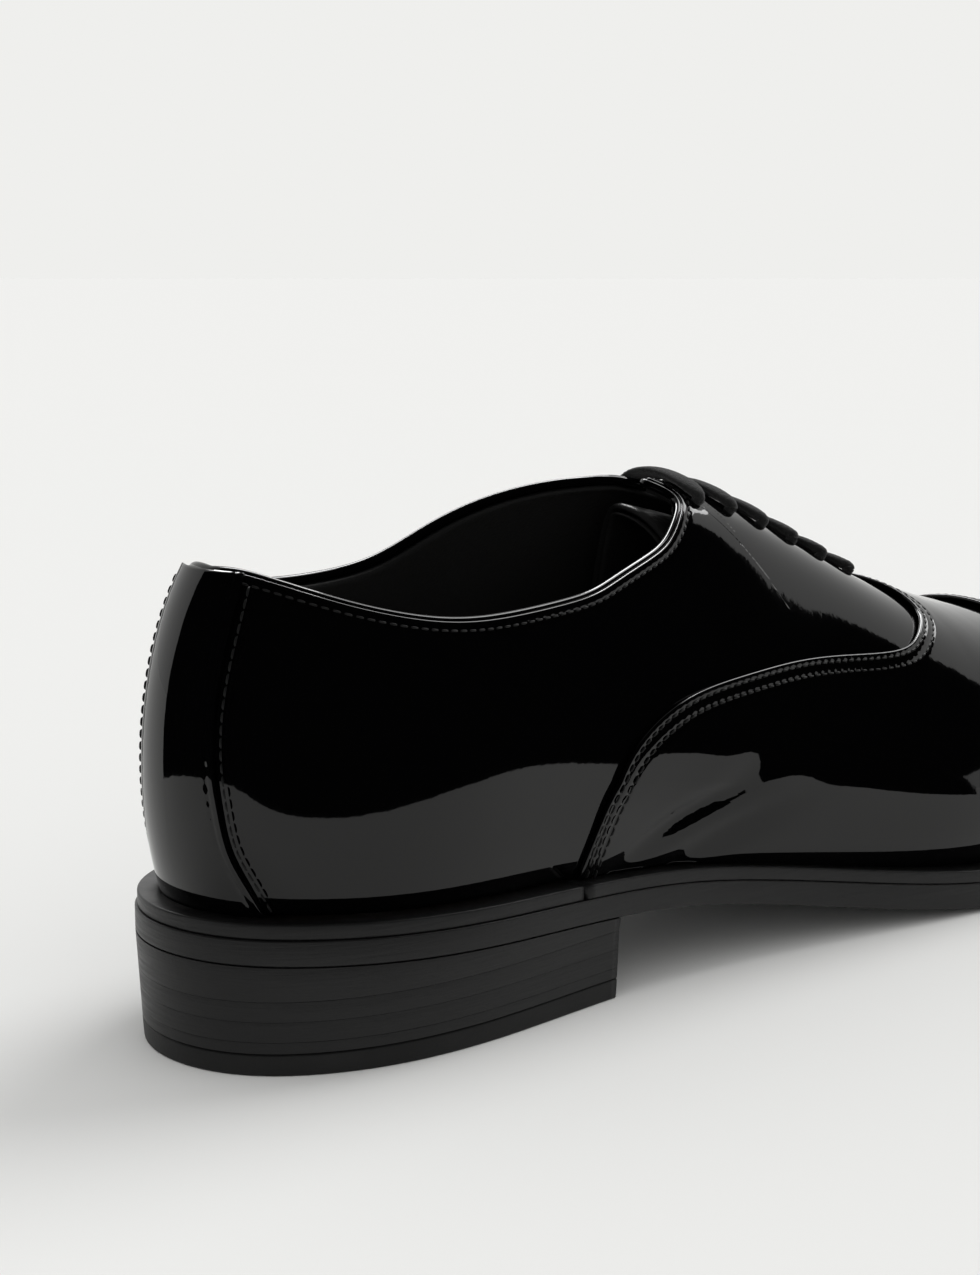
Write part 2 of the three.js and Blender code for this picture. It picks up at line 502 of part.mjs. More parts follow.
const BEAD_DROP = 0.75; // the leather stops this short of the bead
const LINING_DROP = 1.6;
// Eyelets: evenly down the facing, each a hole square to the surface
const eyeletT = (k) => mix(FACING_TOP_T + 0.0195, THROAT_T - 0.0275, k / (EYELETS - 1));
function eyelet(side, k) {
  const t = eyeletT(k), v = girthFrom(side, t, facingHalf(t) + EYELET_INSET);
  const out = skin(side, t, v, D_QUARTER), inner = skin(side, t, v, D_LINING + LINING);
  return { t, v, out, axis: inner.clone().sub(out).normalize() };
}
function tube(at, axis, from, to, r, bore, sides) {
  const profile = bore
    ? [[bore, from], [r, from], [r, to], [bore, to], [bore, from]]
    : [[0, from], [r, from], [r, to], [0, to]];
  const g = new THREE.LatheGeometry(profile.map(([a, b]) => new THREE.Vector2(a, b)), sides);
  const turnTo = new THREE.Quaternion().setFromUnitVectors(new THREE.Vector3(0, 1, 0), axis);
  return welded(g.applyQuaternion(turnTo).translate(at.x, at.y, at.z));
}
const SIDES = [[-1, "lateral"], [1, "medial"]];
const STACK = D_LINING + LINING - D_QUARTER; // facing, stay and lining together
for (const [side, word] of SIDES) {
  const eyelets = Array.from({ length: EYELETS }, (_, k) => eyelet(side, k));
  const holes = eyelets.map((e) => tube(e.out, e.axis, -3, STACK + 3, EYELET_R + EYELET_WALL + GAP, 0, 8));
  const quarter = panel(22, 8, LEATHER, D_QUARTER, quarterAt(side, SEAM_T, UNDERLAP, BEAD_DROP));
  add(`quarter_${word}`, minus(quarter, holes), PATENT);
  const stay = panel(16, 4, STAY, D_STAY, (i, j) => {
    const t = mix(FACING_TOP_T + 0.011, THROAT_T - 0.006, i);
    return [side, t, girthFrom(side, t, facingHalf(t) + mix(2, 2 * EYELET_INSET - 2, j))];
  });
  add(`facing_stay_${word}`, minus(stay, holes), BOARD);
  const lining = panel(22, 8, LINING, liningDepth, quarterAt(side, GRIP_T, -0.01, LINING_DROP));
  add(`quarter_lining_${word}`, minus(lining, holes), LINER);
  eyelets.forEach((e, k) =>
    add(`eyelet_${word}_${k + 1}`,
      tube(e.out, e.axis, 0.1, STACK - 0.1, EYELET_R + EYELET_WALL, EYELET_R, 8), BRASS));
}
add("heel_grip_lining", panel(5, 8, LINING, liningDepth, (i, j) => {
  const a = 2 * j - 1, t = Math.abs(a) * (GRIP_T - 0.004);
  return [a < 0 ? -1 : 1, t, lift(i * (topline(toplineAt(t))[1] - LINING_DROP / V_SPAN))];
}), LINER);
add("heel_counter", panel(4, 20, COUNTER, D_STAY + 0.12, (i, j) => {
  const a = 2 * j - 1;
  return [a < 0 ? -1 : 1, Math.abs(a) * COUNTER_T, lift(i * COUNTER_V)];
}), BOARD);
add("vamp_lining", panel(7, 14, LINING, D_LINING, (i, j) => {
  const [side, s] = over(j), a = vampEdge(s);
  return [side, mix(a[0] + 0.01, 1, i), lift(mix(a[1], s, smooth(i * 1.6)))];
}, true), LINER);
// Rolled bead: sits on the top edges of quarters and linings all round the mouth
const BEAD_DEPTH = (D_QUARTER + D_LINING + LINING) / 2;
const beadPoint = (side, s) => {
  const at = (q, d) => {
    const [t, v] = topline(q, side);
    return skin(side, t, v, d);
  };
  const way = at(Math.min(s + 0.01, 1), BEAD_DEPTH).sub(at(Math.max(s - 0.01, 0), BEAD_DEPTH));
  const out = at(s, 0).sub(at(s, BEAD_DEPTH));
  if (s === 0) way.x = 0;
  const off = out.cross(way).normalize().multiplyScalar(-side * (BEAD_R + PLY));
  return at(s, BEAD_DEPTH).add(off);
};
const BEAD_END = 0.985;
const beadPath = [];
const BEAD_STEPS = 18; // each side
for (let k = -BEAD_STEPS; k <= BEAD_STEPS; k++)
  beadPath.push(beadPoint(k < 0 ? -1 : 1, Math.abs(k) / BEAD_STEPS * BEAD_END));
add("topline_bead", bar(beadPath, BEAD_R, 8), PATENT);

// ---- tongue -------------------------------------------------------------------------------
const TONGUE_TOP = 0.437, TONGUE_BASE = 0.598, TONGUE_HALF = 27;
const tonguePanel = (thick, depth, half) => panel(7, 8, thick, depth, (i, j) => {
  const t = mix(TONGUE_TOP, TONGUE_BASE, i), a = 2 * j - 1, side = a < 0 ? -1 : 1;
  const round = Math.sqrt(1 - 0.5 * (1 - smooth(i / 0.25)) * a * a);
  const width = half * mix(1, 0.72, i) * Math.abs(a);
  const top = t + 0.02 * (1 - round) * 3 * (1 - smooth(i / 0.3));
  return [side, top, girthFrom(side, top, width)];
});
add("tongue", tonguePanel(TONGUE, D_TONGUE, TONGUE_HALF), LINER);
add("tongue_lining", tonguePanel(LINING, D_TONGUE + TONGUE + GAP, TONGUE_HALF - 1), LINER);

// ---- lace ---------------------------------------------------------------------------------
// Straight bars over the facings; between rows the lace climbs underneath, side by side in turn.
const onFacing = (side, t, mm, depth) => skin(side, t, girthFrom(side, t, mm), depth);
const lacePath = [];
const CLEAR = LACE_R + GAP;
const through = (side, k, down) => {
  const e = eyelet(side, k), step = [-CLEAR - 0.4, 0.2, STACK - 0.2, STACK + CLEAR + 0.4];
  (down ? step : step.reverse()).forEach((d) => lacePath.push(e.out.clone().addScaledVector(e.axis, d)));
};
const barOver = (from, k) => {
  const t = eyeletT(k), reach = facingHalf(t) + EYELET_INSET;
  for (const s of [0.72, 0.4, 0, -0.4, -0.72])
    lacePath.push(onFacing(s < 0 ? -from : from, t, Math.abs(s) * reach,
      D_QUARTER - CLEAR - 0.3 - BAR_RISE * (1 - Math.abs(s))));
};
// An end runs down the channel under the facings, beside the ridge
const TAIL_OFF = 3.6, UNDER = D_LACE + LACE_R;
const tail = (side, k, way) => [0.005, 0.017, 0.029, 0.041, 0.052].map((s, i) => {
  const t = eyeletT(k) + way * s;
  return onFacing(side, t, i ? TAIL_OFF : (facingHalf(t) + EYELET_INSET) * 0.6, UNDER);
});
const FIRST = EYELETS - 1; // lowest pair, by the throat
let side = -1;
lacePath.push(...tail(side, FIRST, -1).reverse());
for (let k = FIRST; k >= 0; k--) {
  through(side, k, false);
  barOver(side, k);
  side = -side;
  through(side, k, true);
  if (k > 0) lacePath.push(onFacing(side, (eyeletT(k) + eyeletT(k - 1)) / 2,
    facingHalf(eyeletT(k)) + EYELET_INSET, UNDER));
}
lacePath.push(...tail(side, 0, 1));
add("lace", bar(lacePath, LACE_R, 6), CORD);

export default shoe;
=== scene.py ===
"""Men's black patent oxford shoe, right foot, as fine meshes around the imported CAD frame.

The upper is drawn on the same foot form as the CAD solids: form() gives a point of the form's
surface from a side, a station t along the sole's outline and a girth v, and every piece of
leather is a sheet at its own depth below that surface. Form sizes are in millimetres in the
last maker's frame (x from the back of the heel); to_row() turns them into metres in the row's.
"""
import math

import bpy
import numpy as np
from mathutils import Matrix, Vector


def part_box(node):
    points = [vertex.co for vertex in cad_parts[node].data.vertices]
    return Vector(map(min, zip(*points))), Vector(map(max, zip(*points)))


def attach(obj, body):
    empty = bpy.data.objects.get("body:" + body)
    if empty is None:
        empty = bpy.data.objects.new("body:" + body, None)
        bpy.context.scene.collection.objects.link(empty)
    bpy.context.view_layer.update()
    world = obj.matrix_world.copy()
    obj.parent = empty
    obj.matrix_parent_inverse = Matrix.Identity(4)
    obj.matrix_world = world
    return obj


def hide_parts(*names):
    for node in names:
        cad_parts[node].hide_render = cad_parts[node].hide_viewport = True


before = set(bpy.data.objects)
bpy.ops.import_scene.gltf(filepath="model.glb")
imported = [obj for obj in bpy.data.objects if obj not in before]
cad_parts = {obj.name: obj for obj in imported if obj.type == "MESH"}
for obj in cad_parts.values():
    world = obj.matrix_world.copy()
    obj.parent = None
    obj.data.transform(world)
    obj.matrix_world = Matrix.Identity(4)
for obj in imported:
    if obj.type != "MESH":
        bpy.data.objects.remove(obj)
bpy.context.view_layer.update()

# ---- sizes shared with the CAD source, mm ----------------------------------------------------
SOLE_LENGTH = 301.6
BACK = -1.6
HEEL_HEIGHT, TOE_SPRING = 21.0, 10.0
HEEL_LENGTH, HEEL_TAPER, BREAST_CURVE = 84.3, 1.1, 3.0
TOP_PIECE, BASE_LIFT, LIFT, LIFTS, SEAM = 4.3, 2.0, 3.7, 2, 0.15
SOLE_HEEL, SOLE_BALL, WELT, WELT_END = 4.9, 5.9, 2.9, 74.0
LEATHER, LINING, STAY, PLY = 1.0, 0.7, 0.4, 0.55
D_VAMP = 0.0
D_CAP = -(LEATHER + 1.5 * PLY)
D_QUARTER = D_VAMP + LEATHER + PLY
D_LINING = D_QUARTER + LEATHER + PLY + STAY + PLY
LACE_R = 1.25
D_LACE = D_LINING + LINING + PLY
D_TONGUE = D_LACE + 2 * LACE_R + PLY
EYELETS, EYELET_INSET = 6, 9.0
FACING_GAP_TOP, FACING_GAP_LOW = 8.0, 5.0
FACING_TOP_T, THROAT_T = 0.442, 0.606
BEAD_R = 0.95  # the rolled leather, inside the solid's 1.3
UNDER_VAMP = 0.018
STACK = D_LINING + LINING - D_QUARTER

OUTSOLE_LO, OUTSOLE_HI = (np.array(c) * 1000 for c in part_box("outsole"))
ROW_X = (OUTSOLE_LO[0] + OUTSOLE_HI[0]) / 2 - (BACK + SOLE_LENGTH / 2)


# ---- curves ---------------------------------------------------------------------------------
def spline(rows):
    """Smooth curve through rows (x, y), flat outside them."""
    x, y = (np.array(c, float) for c in zip(*rows))
    n, h = len(x), np.diff(x)
    a, b = np.eye(n), np.zeros(n)
    for i in range(1, n - 1):
        a[i, i - 1:i + 2] = h[i - 1], 2 * (h[i - 1] + h[i]), h[i]
        b[i] = 6 * ((y[i + 1] - y[i]) / h[i] - (y[i] - y[i - 1]) / h[i - 1])
    m = np.linalg.solve(a, b)

    fine = np.linspace(x[0], x[-1], 6001)
    k = np.clip(np.searchsorted(x, fine) - 1, 0, n - 2)
    u, w, g = (x[k + 1] - fine) / h[k], (fine - x[k]) / h[k], h[k]
    table = u * y[k] + w * y[k + 1] + ((u**3 - u) * m[k] + (w**3 - w) * m[k + 1]) * g * g / 6
    return lambda t: np.interp(t, fine, table)


def path2(points):
    """Curve through points (u, v) by their order, 0 at the first and 1 at the last."""
    n = len(points) - 1
    fs = [spline([(i / n, p[k]) for i, p in enumerate(points)]) for k in (0, 1)]
    return lambda s: np.stack([fs[0](s), fs[1](s)], -1)


def mix(a, b, s):
    return a + (b - a) * s


def smooth(s):
    c = np.clip(s, 0, 1)
    return c * c * (3 - 2 * c)


def bell(d, width):
    return np.exp(-(d / width) ** 2)


def distances(p):
    """How far each point of a line lies from its first, along it."""
    return np.concatenate([[0], np.cumsum(np.linalg.norm(np.diff(p, axis=0), axis=1))])


# ---- the foot form --------------------------------------------------------------------------
WIDTHS = [  # station x, half width outside, half width inside
    (2.6, 15, 14.6), (13.6, 25.6, 25.2), (28.5, 31.9, 31.7), (50, 34.6, 34.4), (84, 33.4, 32),
    (115, 34.4, 28.6), (145, 38.9, 31), (172, 44.8, 37), (197, 49.2, 44.6), (218, 50, 47.6),
    (240, 47.2, 46), (262, 41.2, 42), (281, 29.8, 33), (293, 16.5, 23)]
TOE_Y = 4.0


def angle_at(x):
    return np.arccos(np.clip(1 - 2 * (np.asarray(x, float) - BACK) / SOLE_LENGTH, -1, 1))


def t_at(x):
    return angle_at(x) / np.pi


_half = [(0.0, 0.0)] + [(float(angle_at(x)), m) for x, _, m in WIDTHS] + [(np.pi, TOE_Y)]
_turn = _half + [(2 * np.pi - float(angle_at(x)), -l) for x, l, _ in WIDTHS[::-1]]
wave = spline([(a + 2 * np.pi * k, y) for k in (-1, 0, 1) for a, y in _turn])


def _ring(b):
    return np.stack([BACK + SOLE_LENGTH * (1 - np.cos(b)) / 2, wave(b)], -1)


def edge(side, t):
    """Points and outward normals of the sole's outline."""
    a = np.pi * np.asarray(t, float) * side
    d = _ring(a + 1e-3) - _ring(a - 1e-3)
    d = d / np.linalg.norm(d, axis=-1, keepdims=True)
    return _ring(a), np.stack([-d[..., 1], d[..., 0]], -1)


def inset(side, t, d):
    p, n = edge(side, t)
    return p - n * np.asarray(d, float)[..., None]


_pitch = spline([(-5, 1.005), (0, 1), (40, 0.914), (84, 0.805), (105, 0.714), (128, 0.533),
                 (150, 0.329), (170, 0.157), (188, 0.045), (203, 0), (220, 0), (300, 0)])
_spring = spline([(-5, 0), (188, 0), (203, 0), (212, 0), (222, 0.03), (240, 0.17), (262, 0.42),
                  (282, 0.7), (300, 1)])


def ground(x):
    return HEEL_HEIGHT * np.maximum(_pitch(x), 0) + TOE_SPRING * np.maximum(_spring(x), 0)


def sole_top(x):
    return ground(x) + mix(SOLE_HEEL, SOLE_BALL, smooth((np.asarray(x) - 84) / 100))


def welt_top(x):
    return sole_top(x) + WELT


cone_z = spline([(-5, 79), (34, 80), (60, 82), (90, 83), (118, 81.7), (142, 79.7), (160, 75.2),
                 (185, 67.3), (205, 60.6), (222, 55.2), (236, 50.8), (250, 46.6), (264, 42.6),
                 (280, 38.5), (305, 36)])
ridge_y = spline([(0, 0), (40, 0), (90, 1), (130, 2), (170, 3), (210, 4), (250, 4), (300, 3)])
wide_z = spline([(-5, 24), (30, 23), (70, 20), (110, 18), (150, 16), (190, 14), (230, 12),
                 (300, 11)])
WIDE_IN = {
    -1: spline([(-5, 1.4), (30, 1.2), (60, 1.2), (95, 0.3), (125, 0), (160, 1.8), (200, 3.4),
                (250, 4.6), (300, 4.8)]),
    1: spline([(-5, 1.4), (30, 1.2), (60, 1), (95, -1.8), (125, -2.5), (160, 0), (200, 3),
               (250, 4.6), (300, 4.8)])}
FEATHER_IN = {
    -1: spline([(-5, 4.4), (30, 4), (60, 4), (95, 3.6), (125, 3.6), (160, 5), (200, 6.8),
                (250, 8), (300, 8.2)]),
    1: spline([(-5, 4.4), (30, 4), (60, 4), (95, 3.4), (125, 3.4), (160, 5), (200, 6.8),
               (250, 8), (300, 8.2)])}
HOLLOW = {
    -1: spline([(-5, 0), (40, 0.05), (90, 0.15), (118, 0.25), (150, 0.3), (185, 0.2),
                (215, 0.05), (250, -0.12), (300, -0.2)]),
    1: spline([(-5, 0), (40, 0.05), (90, 0.1), (118, 0.15), (150, 0.15), (185, 0.08), (215, 0),
               (250, -0.15), (300, -0.2)])}
POLE_BACK, POLE_TOE, POLE_BLEND = 33.0, 264.0, 20.0
WIDE_V = 0.25


def ramp(s):
    u = np.clip((s / POLE_BLEND + 1) / 2, 0, 1)
    return np.where(s > POLE_BLEND, s, POLE_BLEND * (2 * u**3 - u**4))


def ridge_x(x):
    return POLE_BACK + ramp(x - POLE_BACK) - ramp(x - POLE_TOE)


def _form(side, t, v):
    p, n = edge(side, t)
    x, hz, wide = p[..., 0], wide_z(p[..., 0]), WIDE_IN[side](p[..., 0])
    low = np.clip(1 - v / WIDE_V, 0, 1) ** 2
    foot = p - n * (wide + (FEATHER_IN[side](x) - wide) * low)[..., None]
    rise = np.clip((v - WIDE_V) / (1 - WIDE_V), 0, 1) * np.pi / 2
    up = np.sin(rise)
    reach = np.cos(rise) * (1 - 4 * HOLLOW[side](x) * up * up * (1 - up))
    rx = ridge_x(x)
    ridge = np.stack([rx, ridge_y(rx)], -1)
    xy = np.where((v < WIDE_V)[..., None], foot, ridge + (foot - ridge) * reach[..., None])
    z = np.where(v < WIDE_V, hz * v / WIDE_V, hz + (cone_z(rx) - hz) * up)
    return np.concatenate([xy, (welt_top(xy[..., 0]) + z)[..., None]], -1)


def by_side(f, side, t, v):
    side, t, v = np.broadcast_arrays(np.asarray(side), np.asarray(t, float), np.asarray(v, float))
    if (side < 0).all() or (side > 0).all():
        return f(-1 if side.flat[0] < 0 else 1, t, v)
    return np.where((side < 0)[..., None], f(-1, t, v), f(1, t, v))


def form(side, t, v):
    return by_side(_form, side, t, v)


def _partials(side, t, v):
    e = 1e-3
    c, w = np.clip(t, 2 * e, 1 - 2 * e), np.clip(v, 2 * e, 1 - 2 * e)
    return (_form(side, c + e, w) - _form(side, c - e, w)) / (2 * e), \
        (_form(side, c, w + e) - _form(side, c, w - e)) / (2 * e)


def _normal(side, t, v):
    dt, dv = _partials(side, t, v)
    n = np.cross(dv, dt) * side
    ends = (t < 2e-3) | (t > 1 - 2e-3)
    n[..., 1] = np.where(ends | (v > 1 - 2e-3), 0, n[..., 1])
    return n / np.linalg.norm(n, axis=-1, keepdims=True)


def skin(side, t, v, depth):
    """Points depth mm below the form's surface; negative depths stand proud."""
    return form(side, t, v) - by_side(_normal, side, t, v) * np.asarray(depth, float)[..., None]


def to_row(p):
    """Form millimetres to metres in the row's frame."""
    return (np.asarray(p, float) + (ROW_X, ROW_Y, 0)) / 1000


_rows = np.linspace(0, 2 * np.pi, 57)[:-1]
ROW_Y = (OUTSOLE_LO[1] + OUTSOLE_HI[1]) / 2 - (wave(_rows).max() + wave(_rows).min()) / 2

# ---- pattern lines on the form, as (t, v) ---------------------------------------------------
vamp_edge = path2([(0.3405, 0), (0.3432, 0.06), (0.348, 0.14), (0.3554, 0.224), (0.3723, 0.308),
                   (0.4096, 0.381), (0.4582, 0.436), (0.517, 0.504), (0.5624, 0.567),
                   (0.5825, 0.629), (0.5917, 0.675), (0.6035, 0.762), (0.606, 0.88), (0.606, 1)])
CAP_T = float(t_at(243.6))
outer_topline = path2([(0, 0.611), (0.065, 0.611), (0.1358, 0.583), (0.1727, 0.563), (0.2348, 0.53),
                 (0.2919, 0.517), (0.35, 0.536), (0.3802, 0.568), (0.4128, 0.628),
                 (0.4324, 0.69), (0.447, 0.78), (0.4525, 0.86), (FACING_TOP_T, 0.935)])
inner_topline = path2([(0, 0.611), (0.065, 0.611), (0.1358, 0.583), (0.1727, 0.566), (0.2348, 0.548),
                       (0.2919, 0.556), (0.325, 0.59), (0.3502, 0.655), (0.375, 0.722), (0.4, 0.786),
                       (0.42, 0.843), (0.434, 0.892), (FACING_TOP_T, 0.935)])
strip_edge = spline([(0, 0.104), (0.054, 0.0905), (0.114, 0.0755), (0.2, 0.066), (0.3, 0.06),
                     (0.391, 0.0605), (0.455, 0.064), (0.52, 0.068), (0.62, 0.0715)])


def cap_seam(s):
    return np.stack([CAP_T - 0.012 * (1 - s) ** 2, s], -1)


def facing_half(t):
    return mix(FACING_GAP_TOP, FACING_GAP_LOW, (t - FACING_TOP_T) / (THROAT_T - FACING_TOP_T)) / 2


def girth_from(side, t, mm):
    """Girth at which the form is mm from the ridge, across the shoe."""
    side, t, mm = np.broadcast_arrays(np.asarray(side), np.asarray(t, float), np.asarray(mm, float))
    lo, hi = np.full(t.shape, 0.4), np.ones(t.shape)
    top = form(side, t, np.ones(t.shape))[..., 1]
    for _ in range(26):
        mid = (lo + hi) / 2
        far = np.abs(form(side, t, mid)[..., 1] - top) > mm
        lo, hi = np.where(far, mid, lo), np.where(far, hi, mid)
    return (lo + hi) / 2


# ---- materials ------------------------------------------------------------------------------
def material(name, base, rough, metal=0.0, specular=0.5, sheen=0.0):
    m = bpy.data.materials.new(name)
    m.use_nodes = True
    b = m.node_tree.nodes["Principled BSDF"]
    b.inputs["Base Color"].default_value = (*base, 1)
    b.inputs["Roughness"].default_value = rough
    b.inputs["Metallic"].default_value = metal
    b.inputs["Specular IOR Level"].default_value = specular
    b.inputs["Sheen Weight"].default_value = sheen
    return m, m.node_tree, b


def texture(tree, kind, scale, detail=2.0, stretch=(1, 1, 1), rough=0.5):
    """A 3-D texture in metres, stretched along the row's axes; returns its value socket."""
    coord = tree.nodes.new("ShaderNodeTexCoord")
    mapping = tree.nodes.new("ShaderNodeMapping")
    mapping.inputs["Scale"].default_value = stretch
    tree.links.new(coord.outputs["Object"], mapping.inputs["Vector"])
    node = tree.nodes.new(kind)
    tree.links.new(mapping.outputs["Vector"], node.inputs["Vector"])
    node.inputs["Scale"].default_value = scale
    if "Detail" in node.inputs:
        node.inputs["Detail"].default_value = detail
        node.inputs["Roughness"].default_value = rough
    return node.outputs["Distance" if kind == "ShaderNodeTexVoronoi" else "Fac"]


def ranged(tree, value, lo, hi, from_lo=0.0, from_hi=1.0):
    node = tree.nodes.new("ShaderNodeMapRange")
    for key, x in (("From Min", from_lo), ("From Max", from_hi), ("To Min", lo), ("To Max", hi)):
        node.inputs[key].default_value = x
    tree.links.new(value, node.inputs["Value"])
    return node.outputs["Result"]


def tinted(tree, value, dark, light):
    node = tree.nodes.new("ShaderNodeMix")
    node.data_type = "RGBA"
    node.inputs[6].default_value, node.inputs[7].default_value = (*dark, 1), (*light, 1)
    tree.links.new(value, node.inputs[0])
    return node.outputs[2]


def bumped(tree, shader, heights):
    """Chains bumps: heights is a list of (value socket, distance in metres, strength)."""
    last = None
    for value, distance, strength in heights:
        node = tree.nodes.new("ShaderNodeBump")
        node.inputs["Distance"].default_value = distance
        node.inputs["Strength"].default_value = strength
        tree.links.new(value, node.inputs["Height"])
        if last:
            tree.links.new(last, node.inputs["Normal"])
        last = node.outputs["Normal"]
    tree.links.new(last, shader.inputs["Normal"])


def patent_leather():
    """Near-mirror black: its look is what it reflects, broken by a slight swell and orange peel."""
    m, tree, b = material("patent_leather", (0.0008, 0.0008, 0.0009), 0.04, specular=0.36)
    peel = texture(tree, "ShaderNodeTexNoise", 420, 2.0)
    swell = texture(tree, "ShaderNodeTexNoise", 70, 1.0)
    speck = texture(tree, "ShaderNodeTexNoise", 2600, 2.0)
    tree.links.new(ranged(tree, speck, 0.02, 0.06, 0.35, 0.75), b.inputs["Roughness"])
    bumped(tree, b, [(swell, 0.0009, 0.04), (peel, 0.00012, 0.06)])
    return m


def edge_leather():
    """Waxed sole edge: dull black with a faint grain along the layers."""
    base, rough = (0.006, 0.006, 0.0062), 0.4
    m, tree, b = material("sole_edge", base, rough, specular=0.3)
    grain = texture(tree, "ShaderNodeTexNoise", 60, 6.0, (1, 1, 26), 0.7)
    fine = texture(tree, "ShaderNodeTexNoise", 900, 3.0)
    tree.links.new(tinted(tree, grain, tuple(c * 0.7 for c in base), tuple(c * 1.7 for c in base)),
                   b.inputs["Base Color"])
    tree.links.new(ranged(tree, grain, rough - 0.08, rough + 0.12, 0.3, 0.7), b.inputs["Roughness"])
    bumped(tree, b, [(grain, 0.0003, 0.25), (fine, 0.00008, 0.3)])
    return m


def rubber():
    m, tree, b = material("top_piece_rubber", (0.005, 0.005, 0.005), 0.5, specular=0.3)
    grit = texture(tree, "ShaderNodeTexNoise", 1500, 4.0)
    cloud = texture(tree, "ShaderNodeTexNoise", 40, 3.0)
    tree.links.new(ranged(tree, cloud, 0.42, 0.6, 0.3, 0.7), b.inputs["Roughness"])
    bumped(tree, b, [(grit, 0.00012, 0.35)])
    return m


def grained(name, base, rough, scale=900, depth=0.00018):
    """Soft leather: small rounded cells with a matt finish."""
    m, tree, b = material(name, base, rough, specular=0.4)
    cells = texture(tree, "ShaderNodeTexVoronoi", scale)
    cloud = texture(tree, "ShaderNodeTexNoise", 35, 3.0)
    tree.links.new(tinted(tree, cloud, tuple(c * 0.75 for c in base), tuple(c * 1.3 for c in base)),
                   b.inputs["Base Color"])
    bumped(tree, b, [(cells, depth, 0.5), (cloud, 0.0008, 0.2)])
    return m


def thread():
    m, tree, b = material("thread", (0.008, 0.008, 0.008), 0.5, specular=0.2)
    twist = texture(tree, "ShaderNodeTexNoise", 6000, 2.0)
    bumped(tree, b, [(twist, 0.00008, 0.5)])
    return m


def lace_cloth():
    """Dull fuzzy cotton."""
    m, tree, b = material("lace_cotton", (0.006, 0.006, 0.0063), 0.95, specular=0.1, sheen=0.2)
    b.inputs["Sheen Roughness"].default_value = 0.5
    fuzz = texture(tree, "ShaderNodeTexNoise", 3500, 5.0)
    tree.links.new(tinted(tree, fuzz, (0.003, 0.003, 0.003), (0.016, 0.016, 0.016)), b.inputs["Base Color"])
    bumped(tree, b, [(fuzz, 0.0003, 0.9)])
    return m


def raw(name, base, rough, scale, metal=0.0):
    """Plain stock for the pieces inside, with a fleck of the given scale."""
    m, tree, b = material(name, base, rough, metal)
    fleck = texture(tree, "ShaderNodeTexNoise", scale, 5.0)
    tree.links.new(tinted(tree, fleck, tuple(c * 0.6 for c in base), tuple(min(c * 1.4, 1) for c in base)),
                   b.inputs["Base Color"])
    bumped(tree, b, [(fleck, 0.0002, 0.4)])
    return m


PATENT = patent_leather()
EDGE = edge_leather()
RUBBER = rubber()
LINER = grained("lining_leather", (0.010, 0.0098, 0.0095), 0.55)
TONGUE_LEATHER = grained("tongue_leather", (0.009, 0.009, 0.009), 0.38, 700)
THREAD = thread()
LACE = lace_cloth()
BOARD = raw("fibre_board", (0.35, 0.24, 0.15), 0.8, 900)
CORK = raw("cork", (0.40, 0.27, 0.15), 0.9, 500)
STEEL = raw("steel", (0.5, 0.5, 0.52), 0.3, 1500, 1.0)
ENAMEL = raw("black_enamel", (0.02, 0.02, 0.02), 0.3, 2000)
BRASS = raw("brass", (0.55, 0.42, 0.2), 0.3, 1500, 1.0)


# ---- mesh helpers ---------------------------------------------------------------------------
def placed(name, data):
    """A new object in the scene with this mesh, light or camera."""
    obj = bpy.data.objects.new(name, data)
    bpy.context.scene.collection.objects.link(obj)
    return obj


def new_mesh(name, points, faces, look, body="shoe", slot=None, stands_for=()):
    mesh = bpy.data.meshes.new(name)
    mesh.from_pydata([tuple(p) for p in points], [], [tuple(f) for f in faces])
    mesh.validate()
    mesh.shade_smooth()
    mesh.materials.append(look)
    obj = placed(name, mesh)
    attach(obj, body)
    if stands_for:
        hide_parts(*stands_for)
    return obj


def weld(points, faces, gap=2e-6):
    """Joins points that lie together and drops faces that fold away."""
    key = np.round(np.asarray(points) / gap).astype(np.int64)
    _, first, back = np.unique(key, axis=0, return_index=True, return_inverse=True)
    back = back.ravel()
    if isinstance(faces, np.ndarray):
        quads = back[faces]
        nxt = np.roll(quads, -1, axis=1)
        same = (quads == nxt).sum(1)
        plain = (same == 0) & (quads[:, 0] != quads[:, 2]) & (quads[:, 1] != quads[:, 3])
        out = quads[plain].tolist()
        faces = faces[~plain].tolist()
    else:
        out = []
    for f in faces:
        g = []
        for i in f:
            j = int(back[i])
            if j not in g:
                g.append(j)
        if len(g) > 2:
            out.append(g)
    return np.asarray(points)[first], out


def grid_faces(rows, cols, base=0, flip=False):
    i, j = np.meshgrid(np.arange(rows - 1), np.arange(cols - 1), indexing="ij")
    a = (base + i * cols + j).ravel()
    f = np.stack([a, a + cols, a + cols + 1, a + 1], -1)
    return f[:, ::-1] if flip else f


def outward(points, faces):
    """Turns every face round if the closed surface's signed volume is negative."""
    p = np.asarray(points)
    tris = [(f[0], f[k], f[k + 1]) for f in faces for k in range(1, len(f) - 1)]
    a, b, c = (p[np.array(tris)[:, k]] for k in range(3))
    volume = np.einsum("ij,ij->", a, np.cross(b, c))
    return [f[::-1] for f in faces] if volume < 0 else faces


